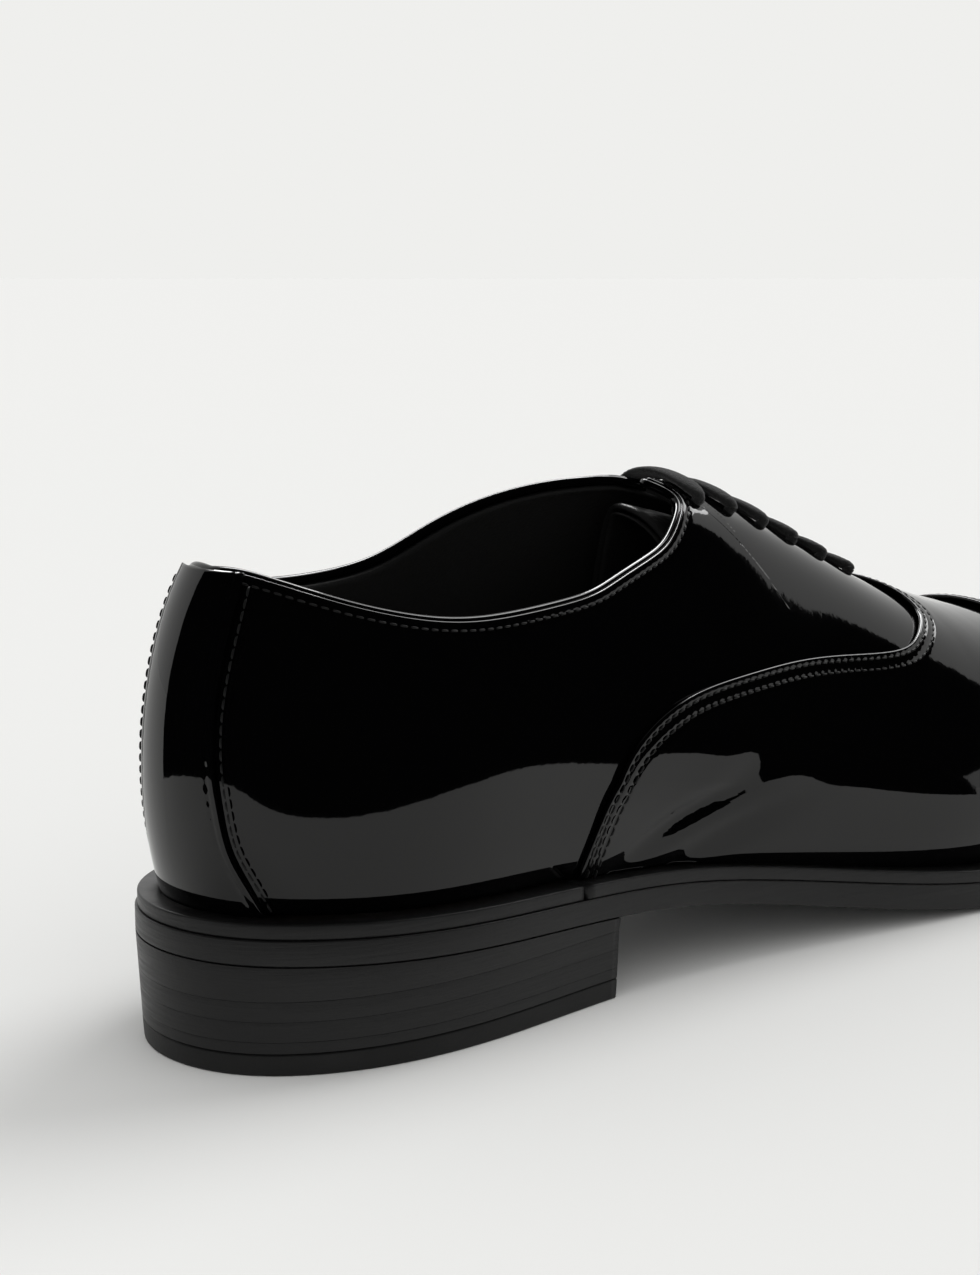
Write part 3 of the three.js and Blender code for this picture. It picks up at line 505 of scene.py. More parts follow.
def sheet(name, outer, inner, look, folded=False, **where):
    """Closed sheet between two grids of points (rows x cols x 3, form mm)."""
    rows, cols = outer.shape[:2]
    points = to_row(np.concatenate([outer.reshape(-1, 3), inner.reshape(-1, 3)]))
    n = rows * cols
    faces = [grid_faces(rows, cols), grid_faces(rows, cols, n, True)]
    idx = np.arange(n).reshape(rows, cols)
    rims = [(idx[:, 0], False), (idx[:, -1], True), (idx[0], True)]
    if not folded:
        rims.append((idx[-1], False))
    for rim, flip in rims:
        a, b = rim[:-1], rim[1:]
        f = np.stack([a, a + n, b + n, b], -1)
        faces.append(f[:, ::-1] if flip else f)
    points, faces = weld(points, np.concatenate(faces))
    return new_mesh(name, points, outward(points, faces), look, **where)


def shell(name, side, t, v, depth, thick, look, stands_for=None, **where):
    """Plain sheet thick mm through, with its outer face depth mm below the form."""
    return sheet(name, skin(side, t, v, depth), skin(side, t, v, depth + thick), look,
                 stands_for=stands_for or (name,), **where)


EDGE_STEPS = np.array([0, 0.05, 0.15, 0.32, 0.6, 0.95, 1.25, 1.5, 1.7, 1.9, 2.15, 2.5, 2.95, 3.4,
                       3.75, 4.05, 4.3, 4.55, 4.9, 5.5])


def off_edge(side, tv, mm, toward):
    """Moves points (t, v) of a line mm across it within the surface, to its left (toward=1)
    or right (-1) as seen from outside. Returns the new (t, v)."""
    p = skin(side, tv[..., 0], tv[..., 1], 0.0)
    along = np.gradient(p, axis=0)
    along /= np.maximum(np.linalg.norm(along, axis=-1, keepdims=True), 1e-9)
    n = by_side(_normal, side, tv[..., 0], tv[..., 1])
    way = np.cross(n, along) * toward
    dt, dv = (by_side(lambda *at: _partials(*at)[k], side, tv[..., 0], tv[..., 1]) for k in (0, 1))
    a, b, c = (dt * dt).sum(-1), (dt * dv).sum(-1), (dv * dv).sum(-1)
    e, f = (dt * way).sum(-1), (dv * way).sum(-1)
    det = np.maximum(a * c - b * b, 1e-9)
    return tv + mm * np.stack([(e * c - f * b) / det, (a * f - b * e) / det], -1)


def even(side, tv, step):
    """Resamples a line on the form so that its points are about step mm apart."""
    s = distances(skin(side, tv[:, 0], tv[:, 1], 0.0))
    q = np.linspace(0, s[-1], max(int(round(s[-1] / step)), 2) + 1)
    line = np.stack([np.interp(q, s, tv[:, k]) for k in (0, 1)], -1)
    return np.interp(q, s, side.astype(float)), line, q


def rounded(e, thick, r=0.45):
    """How much deeper the face lies near a rounded edge, at distance e from it."""
    k = np.clip(1 - e / r, 0, 1)
    return thick / 2 * (1 - np.sqrt(np.maximum(1 - k * k, 0)))


STITCH = 2.3  # pitch of the upper's stitching


def seam_dip(e, s, rows, pitch=STITCH):
    """Leather pulled in along rows of stitches at distances rows from the edge."""
    dip = 0
    for r in rows:
        dip = dip + 0.13 * bell(e - r, 0.42) + 0.035 * np.cos(2 * np.pi * s / pitch) * bell(e - r, 0.8)
    return dip


def stitches(name, side, tv, depth, pitch=STITCH, width=0.24, sink=0.03):
    """Thread along a line on the form: one rounded grain per stitch, ends dipping into the leather."""
    length_share, around, steps = 0.86, 6, 7
    side_f, fine, q = even(side, tv, 0.25)
    sgn = np.where(side_f < 0, -1, 1)
    p = skin(sgn, fine[:, 0], fine[:, 1], depth - sink)
    n = by_side(_normal, sgn, fine[:, 0], fine[:, 1])
    points, faces = [], []
    at = np.arange(pitch * 0.6, q[-1] - pitch * 0.6, pitch)
    ring = np.linspace(0, 2 * np.pi, around, endpoint=False)
    for c in at:
        u = np.linspace(-0.5, 0.5, steps)
        where = c + u * pitch * length_share
        pos = np.stack([np.interp(where, q, p[:, k]) for k in range(3)], -1)
        nor = np.stack([np.interp(where, q, n[:, k]) for k in range(3)], -1)
        d = pos[-1] - pos[0]
        d /= np.linalg.norm(d)
        x = np.cross(nor, d)
        r = width * np.sqrt(np.maximum(1 - (2 * u) ** 4 * 0.96, 0.02))
        pos = pos - nor * (0.30 * (2 * u) ** 4)[:, None]
        base = len(points)
        for k in range(steps):
            for a in ring:
                points.append(pos[k] + r[k] * (x[k] * np.cos(a) + nor[k] * np.sin(a)))
        for k in range(steps - 1):
            for j in range(around):
                l = (j + 1) % around
                faces.append([base + k * around + j, base + k * around + l,
                              base + (k + 1) * around + l, base + (k + 1) * around + j])
        faces.append([base + j for j in range(around)][::-1])
        faces.append([base + (steps - 1) * around + j for j in range(around)])
    return new_mesh(name, to_row(points), faces, THREAD, slot="patent_leather")


def tube(name, path, radius, look, around=12, flat=1.0, up=None, **where):
    """Closed round or flattened bar along form points; radius may be an array."""
    p = np.asarray(path, float)
    d = np.gradient(p, axis=0)
    d /= np.linalg.norm(d, axis=1, keepdims=True)
    r = np.broadcast_to(np.asarray(radius, float), len(p))
    flat = np.broadcast_to(np.asarray(flat, float), len(p))
    n = np.cross([0, 0, 1.0], d[0])
    if np.linalg.norm(n) < 0.2:
        n = np.cross([0, 1.0, 0], d[0])
    points, ring = [], np.linspace(0, 2 * np.pi, around, endpoint=False)
    for k in range(len(p)):
        if up is not None and np.linalg.norm(np.cross(up[k], d[k])) > 0.3:
            n = np.cross(up[k], d[k])
        n = n - d[k] * np.dot(n, d[k])
        n = n / np.linalg.norm(n)
        b = np.cross(d[k], n)
        for a in ring:
            points.append(p[k] + r[k] * (n * np.cos(a) + b * flat[k] * np.sin(a)))
    faces = []
    for k in range(len(p) - 1):
        for j in range(around):
            l = (j + 1) % around
            faces.append([k * around + j, k * around + l, (k + 1) * around + l, (k + 1) * around + j])
    points += [p[0], p[-1]]
    last = (len(p) - 1) * around
    for j in range(around):
        l = (j + 1) % around
        faces.append([len(points) - 2, l, j])
        faces.append([len(points) - 1, last + j, last + l])
    points = to_row(points)
    return new_mesh(name, points, outward(points, faces), look, **where)


# ---- upper ----------------------------------------------------------------------------------
SIDES = ((-1, "lateral"), (1, "medial"))
EDGE_STEP = 0.75  # between points along a cut edge
DOUBLE_ROW = (1.5, 3.9)  # rows of stitches, from the edge
TOP_ROW, STRIP_ROW = 1.9, 1.7
THREAD_IN = 0.1  # how deep a stitch lies in its piece
CAP_LAP = 0.018  # how far the vamp runs on under the cap, in t
STRIP_LIFT = 0.35  # the back strip's depth below the form


def to_ridge(n):
    """Share of the way to the ridge for n points drawn over it from side to side."""
    return 1 - np.abs(np.linspace(-1, 1, n))


def over_ridge(line, step):
    """A line given for one side, from the feather (s = 0) to the ridge (s = 1), drawn from the
    outer side over the ridge to the inner side at about step mm."""
    s = np.linspace(0, 1, 400)
    tv = np.concatenate([line(s), line(s[::-1])[1:]])
    side = np.concatenate([-np.ones(400), np.ones(399)])
    return even(side, tv, step)


def signs(side):
    return np.where(side < 0, -1, 1)


def waist_folds(side, t, v):
    """Soft creases in the vamp over the waist, deepest on the outer side."""
    x = 474 * (t - 0.40)
    y = 88 * (v - 0.14)
    hollow = 1.8 * bell(x - 2, 24) * bell(y - 0.25 * x, 11)
    creases = 1.1 * bell(y - 0.6 * x + 1, 3.2) + 1.0 * bell(y - 0.62 * x + 13, 3.8)
    return np.where(side < 0, 1, 0.5) * (hollow + bell(x - 8, 24) * bell(y, 16) * creases)


def leather_piece(name, near, far, thick, depth, look=PATENT, rows=44, seams=(), relief=None,
                  folded=False, toward=1, **where):
    """A piece of upper between two lines: near is (side, (t, v) points, arc lengths) of the seen
    edge; far gives the opposite line's (t, v) at the same points. Rows lie close together by the
    rounded edge and its seams, and each stays on its own side of the ridge."""
    side_f, a, s = near
    sgn = signs(side_f)
    rows_tv, e_rows = [], []
    for e in EDGE_STEPS:
        rows_tv.append(off_edge(sgn, a, e, toward) if e else a)
        e_rows.append(np.full(len(a), e))
    last = rows_tv[-1]
    gap = skin(sgn, far[:, 0], far[:, 1], 0.0) - skin(sgn, last[:, 0], last[:, 1], 0.0)
    gap = np.linalg.norm(gap, axis=1)
    for k in range(1, rows + 1):
        u = (k / rows) ** 1.15
        rows_tv.append(mix(last, far, u))
        e_rows.append(EDGE_STEPS[-1] + gap * u)
    tv = np.clip(np.stack(rows_tv), 0, 1)
    e = np.stack(e_rows)
    sd, arc = np.broadcast_to(sgn, e.shape), np.broadcast_to(s, e.shape)
    dip = seam_dip(e, arc, seams)
    bend = relief(sd, tv[..., 0], tv[..., 1]) if relief is not None else 0
    edge_in = rounded(e, thick)
    t, v = tv[..., 0], tv[..., 1]
    outer = skin(sd, t, v, depth + bend + dip + edge_in)
    inner = skin(sd, t, v, depth + bend + thick + dip - edge_in)
    return sheet(name, outer, inner, look, folded, **where)


def build_vamp():
    """From its edge over the quarters to a lap under the toe cap, in two rows of stitches."""
    near = over_ridge(vamp_edge, EDGE_STEP)
    side, a, s = near
    far = cap_seam(to_ridge(len(s)))
    far[:, 0] += CAP_LAP
    leather_piece("vamp", near, far, LEATHER, D_VAMP, rows=60, seams=DOUBLE_ROW, toward=-1,
                  relief=waist_folds, slot="patent_leather", stands_for=("vamp",))
    for k, e in enumerate(DOUBLE_ROW):
        line = off_edge(signs(side), a, e, -1)
        stitches(f"vamp_stitch_{k + 1}", signs(side), line, D_VAMP + THREAD_IN)


def build_cap():
    near = over_ridge(cap_seam, EDGE_STEP)
    side, a, s = near
    far = np.stack([np.ones(len(s)), to_ridge(len(s))], -1)
    leather_piece("toe_cap", near, far, LEATHER, D_CAP, rows=60, seams=DOUBLE_ROW, folded=True, toward=-1,
                  slot="patent_leather", stands_for=("toe_cap", "toe_puff"))
    for k, e in enumerate(DOUBLE_ROW):
        line = off_edge(signs(side), a, e, -1)
        stitches(f"cap_stitch_{k + 1}", signs(side), line, D_CAP + THREAD_IN)


def soften(tv, reach, passes=2):
    """Rounds the corners of a dense line by averaging over reach points."""
    out = tv.copy()
    for _ in range(passes):
        pad = np.concatenate([out[:1].repeat(reach, 0), out, out[-1:].repeat(reach, 0)])
        c = np.cumsum(np.concatenate([np.zeros((1, 2)), pad]), 0)
        out = (c[2 * reach + 1:] - c[:-2 * reach - 1]) / (2 * reach + 1)
        out[0], out[-1] = tv[0], tv[-1]
    return out


def head_line(side, start=0.0, shift=UNDER_VAMP):
    """Topline from the back seam, round the facing's corner and down its edge."""
    s = np.linspace(0, 1, 700)
    top = (outer_topline if side < 0 else inner_topline)(s)
    top = top[top[:, 0] + 0.001 > start] if start else top
    t = np.linspace(FACING_TOP_T, THROAT_T + shift, 500)[1:]
    on_form = np.minimum(t, THROAT_T)
    face = np.stack([t, girth_from(side, on_form, facing_half(on_form))], -1)
    top[:, 1] = np.minimum(top[:, 1], face[0, 1])
    sd, line, _ = even(np.full(len(top) + len(face), float(side)), np.concatenate([top, face]), 0.5)
    return even(sd, soften(line, 5), 0.8)


def fore_line(shares, shift=UNDER_VAMP):
    """The opposite boundary: along the feather line, then by the vamp's edge."""
    s = np.linspace(0, 1, 300)
    low = np.stack([mix(0.0, vamp_edge(0.0)[0] + shift, s), np.zeros(300)], -1)
    a = vamp_edge(s * 0.93)
    a[:, 0] += shift
    a[:, 1] = np.maximum(a[:, 1] - 2.2 * shift * smooth(s / 0.25), 0)
    # shares of the topline and facing edge, and the places here that they meet
    u = np.interp(shares, [0, 0.40, 0.6, 1.0], [0, 0.5, 0.76, 1.0])
    both = np.concatenate([low, a[1:]])
    pos = np.concatenate([np.linspace(0, 0.5, 300), np.linspace(0.5, 1, 300)[1:]])
    return np.stack([np.interp(u, pos, both[:, k]) for k in (0, 1)], -1)


def eyelet_t(k):
    return mix(FACING_TOP_T + 0.0195, THROAT_T - 0.0275, k / (EYELETS - 1))


def eyelet_dimples(side, t, v):
    here, out = form(side, t, v), 0
    for k in range(EYELETS):
        tk = eyelet_t(k)
        for sd in (-1, 1):
            c = form(sd, tk, girth_from(sd, tk, facing_half(tk) + EYELET_INSET))
            r = np.linalg.norm(here - c, axis=-1)
            out = out + np.where(side == sd, 1.0, 0) * 0.12 * bell(r, 1.9)
    return out


def build_quarters():
    for side, word in SIDES:
        near = head_line(side)
        far = fore_line(near[2] / near[2][-1])
        leather_piece(f"quarter_{word}", near, far, LEATHER, D_QUARTER, rows=52, seams=(TOP_ROW,),
                      toward=side, relief=eyelet_dimples, slot="patent_leather",
                      stands_for=(f"quarter_{word}",))
        sgn = signs(near[0])
        line = off_edge(sgn, near[1], TOP_ROW, side)
        stitches(f"topline_stitch_{word}", sgn, line, D_QUARTER + THREAD_IN)
        near = head_line(side, 0.002, -0.004)
        line = off_edge(signs(near[0]), near[1], 0.9, side)
        far = fore_line(near[2] / near[2][-1], 0.004)
        outer = np.stack([mix(line, far, u) for u in np.linspace(0, 1, 40)])
        sd = np.broadcast_to(signs(near[0]), outer.shape[:2])
        shell(f"quarter_lining_{word}", sd, outer[..., 0], outer[..., 1], D_LINING - STAY, STAY + LINING,
              LINER, slot="lining_leather",
              stands_for=(f"quarter_lining_{word}", f"facing_stay_{word}"))


def build_back_strip():
    """One strip over the back seam, rounded and stitched along both its edges."""
    v, u = np.meshgrid(np.linspace(0, 0.607, 110), np.sin(np.linspace(-np.pi / 2, np.pi / 2, 121)))
    t, sd = np.abs(u) * strip_edge(v), np.where(u < 0, -1, 1)
    p = skin(sd, t, v, 0.0)
    across = np.concatenate([np.zeros((1, v.shape[1])),
                             np.cumsum(np.linalg.norm(np.diff(p, axis=0), axis=-1), axis=0)])
    e = np.minimum(across, across[-1] - across)
    up_mm = 82  # the form's height at the back, about, for a girth of 1
    dip, edge_in = seam_dip(e, v * up_mm, (STRIP_ROW,)), rounded(e, LEATHER)
    depth = D_VAMP + STRIP_LIFT
    outer = skin(sd, t, v, depth + dip + edge_in)
    inner = skin(sd, t, v, depth + LEATHER + dip - edge_in)
    sheet("back_strip", outer, inner, PATENT, slot="patent_leather", stands_for=("back_strip",))
    for side, word in SIDES:
        line = np.stack([strip_edge(v[0]), v[0]], -1)
        sgn, tv, _ = even(np.full(len(line), float(side)), line, 0.7)
        line = off_edge(signs(sgn), tv, STRIP_ROW, side)
        stitches(f"strip_stitch_{word}", signs(sgn), line, depth + THREAD_IN)


def build_bead():
    """Rolled edge round the mouth, from facing corner to facing corner."""
    path, ups = [], []
    mid = (D_QUARTER + D_LINING + LINING - 0.5) / 2
    for side in (-1, 1):
        sides, line, _ = head_line(side)
        end = np.argmax(line[:, 0] >= 0.46)  # the line has turned down the facing by here
        sgn = signs(sides[:end])
        tv = off_edge(sgn, line[:end], -0.25, side)
        p = skin(sgn, tv[:, 0], tv[:, 1], mid)
        up = off_edge(sgn, tv, -1.0, side)
        q = skin(sgn, up[:, 0], up[:, 1], mid) - p
        path.append(p)
        ups.append(q / np.linalg.norm(q, axis=1, keepdims=True))
    p = np.concatenate([path[0][::-1], path[1][1:]])
    u = np.concatenate([ups[0][::-1], ups[1][1:]])
    tube("topline_bead", p, BEAD_R, PATENT, 14, 0.9, u, slot="patent_leather",
         stands_for=("topline_bead",))


def build_linings():
    """Vamp lining, and the heel grip inside the back, which laps over the quarter linings."""
    side, a, s = over_ridge(vamp_edge, 2.0)
    sgn = signs(side)
    far = np.stack([np.ones(len(s)), to_ridge(len(s))], -1)
    tv = np.stack([mix(a, far, u) for u in np.linspace(0.004, 1, 50)])
    sd = np.broadcast_to(sgn, tv.shape[:2])
    shell("vamp_lining", sd, tv[..., 0], tv[..., 1], D_LINING, LINING, LINER, folded=True,
          slot="lining_leather")
    t = np.linspace(-0.118, 0.118, 70)
    v = np.linspace(0.02, 1, 40)
    back = outer_topline(np.linspace(0, 0.5, 80))
    top = np.interp(np.abs(t), back[:, 0], back[:, 1])
    vv = v[:, None] * (top[None] - 0.012)
    tt = np.broadcast_to(np.abs(t), vv.shape)
    sd = np.broadcast_to(np.where(t < 0, -1, 1), vv.shape)
    shell("heel_grip_lining", sd, tt, vv, D_LINING + LINING, 0.5, LINER, slot="lining_leather")


def build_tongue():
    """Tongue and its lining: wide and rounded at the top, narrower where they pass under the vamp."""
    top_t, base_t, half, long = 0.437, 0.598, 27.0, 76

    def panel(thick, depth, width, name, look, slot):
        i, j = np.meshgrid(np.linspace(0, 1, 60), np.linspace(-1, 1, 61), indexing="ij")
        rnd = np.sqrt(1 - 0.5 * (1 - smooth(i / 0.25)) * j * j)
        t = mix(top_t, base_t, i) + 0.06 * (1 - rnd) * (1 - smooth(i / 0.3))
        w = width * mix(1, 0.72, i) * np.abs(j)
        sd = np.where(j < 0, -1, 1)
        v = girth_from(sd, t, w)
        sunk = rounded(np.minimum((1 - np.abs(j)) * width, i * long), thick, 0.8)
        sheet(name, skin(sd, t, v, depth + sunk), skin(sd, t, v, depth + thick - sunk), look,
              body="tongue", slot=slot, stands_for=(name,))

    panel(1.4, D_TONGUE, half, "tongue", TONGUE_LEATHER, "tongue_leather")
    panel(LINING, D_TONGUE + 1.4 + PLY, half - 1, "tongue_lining", LINER, "lining_leather")


def eyelet_hole(side, k):
    """Station and girth of an eyelet, its outer end and the way in, square to the facing."""
    t = eyelet_t(k)
    v = float(girth_from(side, t, facing_half(t) + EYELET_INSET))
    top, low = skin(side, t, v, D_QUARTER), skin(side, t, v, D_LINING + LINING)
    return t, v, top, (low - top) / np.linalg.norm(low - top)


def build_eyelets():
    """Blind eyelets: rings with rolled rims, set under the facing's outer leather."""
    bore, wall, sink = 1.6, 0.5, 1.1
    mid, half = (sink + STACK - 0.1) / 2, (STACK - 0.1 - sink) / 2
    a = np.linspace(0, 2 * np.pi, 33)[:, None, None]
    b = np.linspace(0, 2 * np.pi, 17)[None, :, None]
    for side, word in SIDES:
        for k in range(EYELETS):
            _, _, top, axis = eyelet_hole(side, k)
            x = np.cross(axis, [1.0, 0, 0])
            x /= np.linalg.norm(x)
            round_it = x * np.cos(a) + np.cross(axis, x) * np.sin(a)
            r = bore + wall / 2 + wall / 2 * np.cos(b)
            ring = top + axis * (mid + half * np.sin(b)) + r * round_it
            points, faces = weld(to_row(ring.reshape(-1, 3)), grid_faces(33, 17))
            new_mesh(f"eyelet_{word}_{k + 1}_ring", points, outward(points, faces), ENAMEL,
                     stands_for=(f"eyelet_{word}_{k + 1}",))


# ---- lace -----------------------------------------------------------------------------------
CLEAR = LACE_R + 0.3
BAR_HALF, BAR_THICK = 4.6, 1.2  # the flat lace's half width and half thickness on a bar


def lace_points():
    """The lace's way, tip to tip: bars over the facings, climbs underneath, side by side. Each point
    comes with the way out of the form there and the lace's half width."""
    def spread(side, t, v, points, half):
        up = skin(side, t, v, -1.0) - skin(side, t, v, 0.0)
        return [np.concatenate([q, up, [half]]) for q in points]

    def through(side, k, down):
        t, v, out, axis = eyelet_hole(side, k)
        steps = [-BAR_THICK + 0.1, 0.3, STACK - 0.2, STACK + CLEAR + 0.4]
        return spread(side, t, v, [out + axis * d for d in (steps if down else steps[::-1])], LACE_R)

    def bar(side, k):
        t = eyelet_t(k)
        reach = facing_half(t) + EYELET_INSET
        out = []
        for s in (0.8, 0.4, 0, -0.4, -0.8):
            here = -side if s < 0 else side
            v = float(girth_from(here, t, abs(s) * reach))
            half = mix(BAR_HALF, 2.2 * LACE_R, abs(s) ** 2)
            out += spread(here, t, v, [skin(here, t, v, D_QUARTER - BAR_THICK - 0.2)], half)
        return out

    def under(side, t, mm):
        v = float(girth_from(side, t, mm))
        return spread(side, t, v, [skin(side, t, v, D_LACE + LACE_R)], LACE_R)

    def tail(side, k, way):
        pts = []
        for i, s in enumerate((0.005, 0.017, 0.029, 0.041, 0.052)):
            t = eyelet_t(k) + way * s
            pts += under(side, t, 3.6 if i else (facing_half(t) + EYELET_INSET) * 0.6)
        return pts

    side = -1
    pts = tail(side, EYELETS - 1, -1)[::-1]
    for k in range(EYELETS - 1, -1, -1):
        pts += through(side, k, False) + bar(side, k)
        side = -side
        pts += through(side, k, True)
        if k:
            t = (eyelet_t(k) + eyelet_t(k - 1)) / 2
            pts += under(side, t, facing_half(eyelet_t(k)) + EYELET_INSET)
    return np.array(pts + tail(side, 0, 1))


def catmull(p, per):
    """Centripetal curve through points, per steps between each two."""
    p = np.concatenate([[2 * p[0] - p[1]], p, [2 * p[-1] - p[-2]]])
    out = []
    for i in range(1, len(p) - 2):
        q = p[i - 1:i + 3]
        k = np.concatenate([[0], np.cumsum(np.sqrt(np.linalg.norm(np.diff(q[:, :3], axis=0), axis=1)))])
        u = np.linspace(k[1], k[2], per, endpoint=False)[:, None]
        a = [(k[j + 1] - u) / (k[j + 1] - k[j]) * q[j] + (u - k[j]) / (k[j + 1] - k[j]) * q[j + 1]
             for j in range(3)]
        b = [(k[j + 2] - u) / (k[j + 2] - k[j]) * a[j] + (u - k[j]) / (k[j + 2] - k[j]) * a[j + 1]
             for j in range(2)]
        out.append((k[2] - u) / (k[2] - k[1]) * b[0] + (u - k[1]) / (k[2] - k[1]) * b[1])
    return np.concatenate(out + [p[-2:-1]])


def build_lace():
    way = catmull(lace_points(), 10)
    path, up, half = way[:, :3], way[:, 3:6], np.maximum(way[:, 6], LACE_R)
    weave = 1 + 0.04 * np.sin(2 * np.pi * distances(path) / 1.1)
    thick = mix(LACE_R, BAR_THICK, smooth((half - LACE_R) / LACE_R))
    tube("lace", path, half * weave, LACE, 24, thick / half, up, slot="lace_cord", stands_for=("lace",))


# ---- bottom ---------------------------------------------------------------------------------
EDGE_SLOT = "sole_edge_leather"
SQUARE = np.pi / 2


def eased(r, steps, cut=0.0, top=False):
    """Steps round an edge eased by r: (inset, 0 on the bottom's height or 1 on the top's, mm above
    it), from the bottom face out or, at the top, from the side in. cut leaves out the flat end."""
    if top:
        angles = np.linspace(0, SQUARE - cut, steps)
        return [(r * (1 - math.cos(a)), 1, -r * (1 - math.sin(a))) for a in angles]
    return [(r * (1 - math.sin(a)), 0, r * (1 - math.cos(a))) for a in np.linspace(cut, SQUARE, steps)]


def walls(loops):
    """Quads between each two of the closed loops of points."""
    n, faces = len(loops[0]), []
    for k in range(len(loops) - 1):
        for j in range(n):
            l = (j + 1) % n
            faces.append([k * n + j, k * n + l, (k + 1) * n + l, (k + 1) * n + j])
    return faces


def solid(name, loops, faces, look, slot=EDGE_SLOT):
    points, faces = weld(to_row(np.concatenate(loops)), faces)
    return new_mesh(name, points, outward(points, faces), look, slot=slot, stands_for=(name,))


def outline_loop(t, d):
    """Outline at inset d through stations t: forward on the outer side and back on the inner one."""
    d = np.full(len(t), float(d))
    return inset(-1, t, d), inset(1, t[::-1], d)


def at_height(p, low, high, share, rise):
    """Points p at the bottom's height low(x) or the top's high(x), moved up by rise."""
    z = (low(p[:, 0]) if share == 0 else high(p[:, 0])) + rise
    return np.concatenate([p, np.broadcast_to(z, len(p))[:, None]], 1)


def level(z):
    return lambda x: np.zeros_like(np.asarray(x, float)) + z


def add_heel_part(name, low, high, r, look=EDGE, slot=EDGE_SLOT):
    """A heel layer between two heights, drawn in towards the ground, with its hollowed breast."""
    flat = 2.5  # width of the faceted rim on its two faces
    t = np.linspace(0, float(t_at(BACK + HEEL_LENGTH + 1.6)), 90)
    across = np.linspace(0, 1, 26)[1:-1]
    steps = [(flat, 0, 0), (r, 0, 0)] + eased(r, 4, 0.3)
    steps += eased(r, 4, 0.3, True) + [(r, 1, 0), (flat, 1, 0)]
    loops = []
    for d, share, rise in steps:
        height = float((high if share else low)(0.0))
        outer, inner = outline_loop(t, d + HEEL_TAPER * (1 - height / HEEL_HEIGHT))
        breast = outer[-1] + (inner[0] - outer[-1]) * across[:, None]
        breast[:, 0] -= BREAST_CURVE * 4 * across * (1 - across) + d
        loops.append(at_height(np.concatenate([outer, breast, inner]), low, high, share, rise))
    n, last = len(loops[0]), len(loops) - 1
    faces = walls(loops) + [list(range(n))[::-1], [last * n + j for j in range(n)]]
    solid(name, loops, faces, look, slot)


def build_heel():
    """Top piece, dark base lift and leather lifts; the lifts all but meet, so that only the lines
    above and below them show clearly."""
    close = 0.07  # how far a layer reaches into the seam on each of its faces
    z = TOP_PIECE
    add_heel_part("heel_top_piece", level(0.0), level(z), 0.5, RUBBER, "top_piece_rubber")
    z += SEAM * 0.3
    add_heel_part("heel_base_lift", level(z), level(z + BASE_LIFT + 0.17), 0.06)
    z = TOP_PIECE + SEAM + BASE_LIFT + SEAM
    for k in range(LIFTS):
        add_heel_part(f"heel_lift_{k + 1}", level(z - close), level(z + LIFT + close), 0.04)
        z += LIFT + SEAM
    add_heel_part("heel_wedge_lift", level(z - close), lambda x: ground(x) - 0.04, 0.05)


def add_welt(name, t_from, t_to, out_d, in_d, r=0.35):
    """Strip round the sole's top from station to station, past the toe where they pass 1, between
    insets out_d and in_d; its ends are square."""
    a = np.linspace(t_from, t_to, 260)
    side = np.where((a < 0) | (a > 1), -1, 1)
    t = np.where(a > 1, 2 - a, np.abs(a))
    steps = [(in_d - out_d, 0, 0.0)] + eased(r, 5) + eased(r, 5, top=True) + [(in_d - out_d, 1, 0.0)]
    rings = []
    for d, share, rise in steps:
        d = np.full(len(t), out_d + d)
        p = np.where((side < 0)[:, None], inset(-1, t, d), inset(1, t, d))
        rings.append(at_height(p, lambda x: sole_top(x) + 0.02, welt_top, share, rise))
    m, n = len(rings), len(a)
    faces = []
    for k in range(m):
        l = (k + 1) % m
        for j in range(n - 1):
            faces.append([k * n + j, k * n + j + 1, l * n + j + 1, l * n + j])
    faces += [[k * n for k in range(m)], [k * n + n - 1 for k in range(m)][::-1]]
    solid(name, rings, faces, EDGE)


def build_sole():
    ends = np.linspace(0, 1, 241)
    t = mix(ends, (1 - np.cos(np.pi * ends)) / 2, 0.35)  # stations lie closer at the heel and toe
    r_low, r_top, flat = 0.6, 0.25, 3.0
    steps = [(flat, 0, 0.0), (r_low + 0.3, 0, 0.0)] + eased(r_low, 6, 0.25)
    steps += eased(r_top, 5, 0.25, True) + [(r_top + 0.1, 1, 0.0), (flat, 1, 0.0)]
    loops = [at_height(np.concatenate(outline_loop(t, d)), ground, sole_top, share, rise)
             for d, share, rise in steps]
    faces, n = walls(loops), len(loops[0])
    for base, flip in ((0, False), ((len(loops) - 1) * n, True)):
        for j in range(n // 2 - 1):
            f = [base + j, base + n - 1 - j, base + n - 2 - j, base + j + 1]
            faces.append(f[::-1] if flip else f)
    solid("outsole", loops, faces, EDGE)
    t_end, gap = float(t_at(WELT_END)), 0.003
    add_welt("heel_rand", -t_end, t_end, 0.5, 10)
    add_welt("welt", t_end + gap, 2 - t_end - gap, 0.3, 9)


def build_insole():
    """Insole board and the sock on it, clear of the linings all round."""
    t = np.linspace(0.02, 0.985, 200)

    def side_line(side):
        x = inset(side, t, np.zeros(len(t)))[:, 0]
        return inset(side, t, FEATHER_IN[side](x) + D_LINING + 1.6)

    a, b = side_line(-1), side_line(1)
    j = np.linspace(0, 1, 30)
    xy = a[:, None] + (b - a)[:, None] * j[None, :, None]
    for name, lo, hi, look, slot in (("insole_board", 0.15, 1.95, BOARD, "fibre_board"),
                                     ("sock_lining", 2.25, 3.25, LINER, "lining_leather")):
        top = np.concatenate([xy, (welt_top(xy[..., 0]) + hi)[..., None]], -1)
        low = np.concatenate([xy, (welt_top(xy[..., 0]) + lo)[..., None]], -1)
        sheet(name, top, low, look, slot=slot, stands_for=(name,))


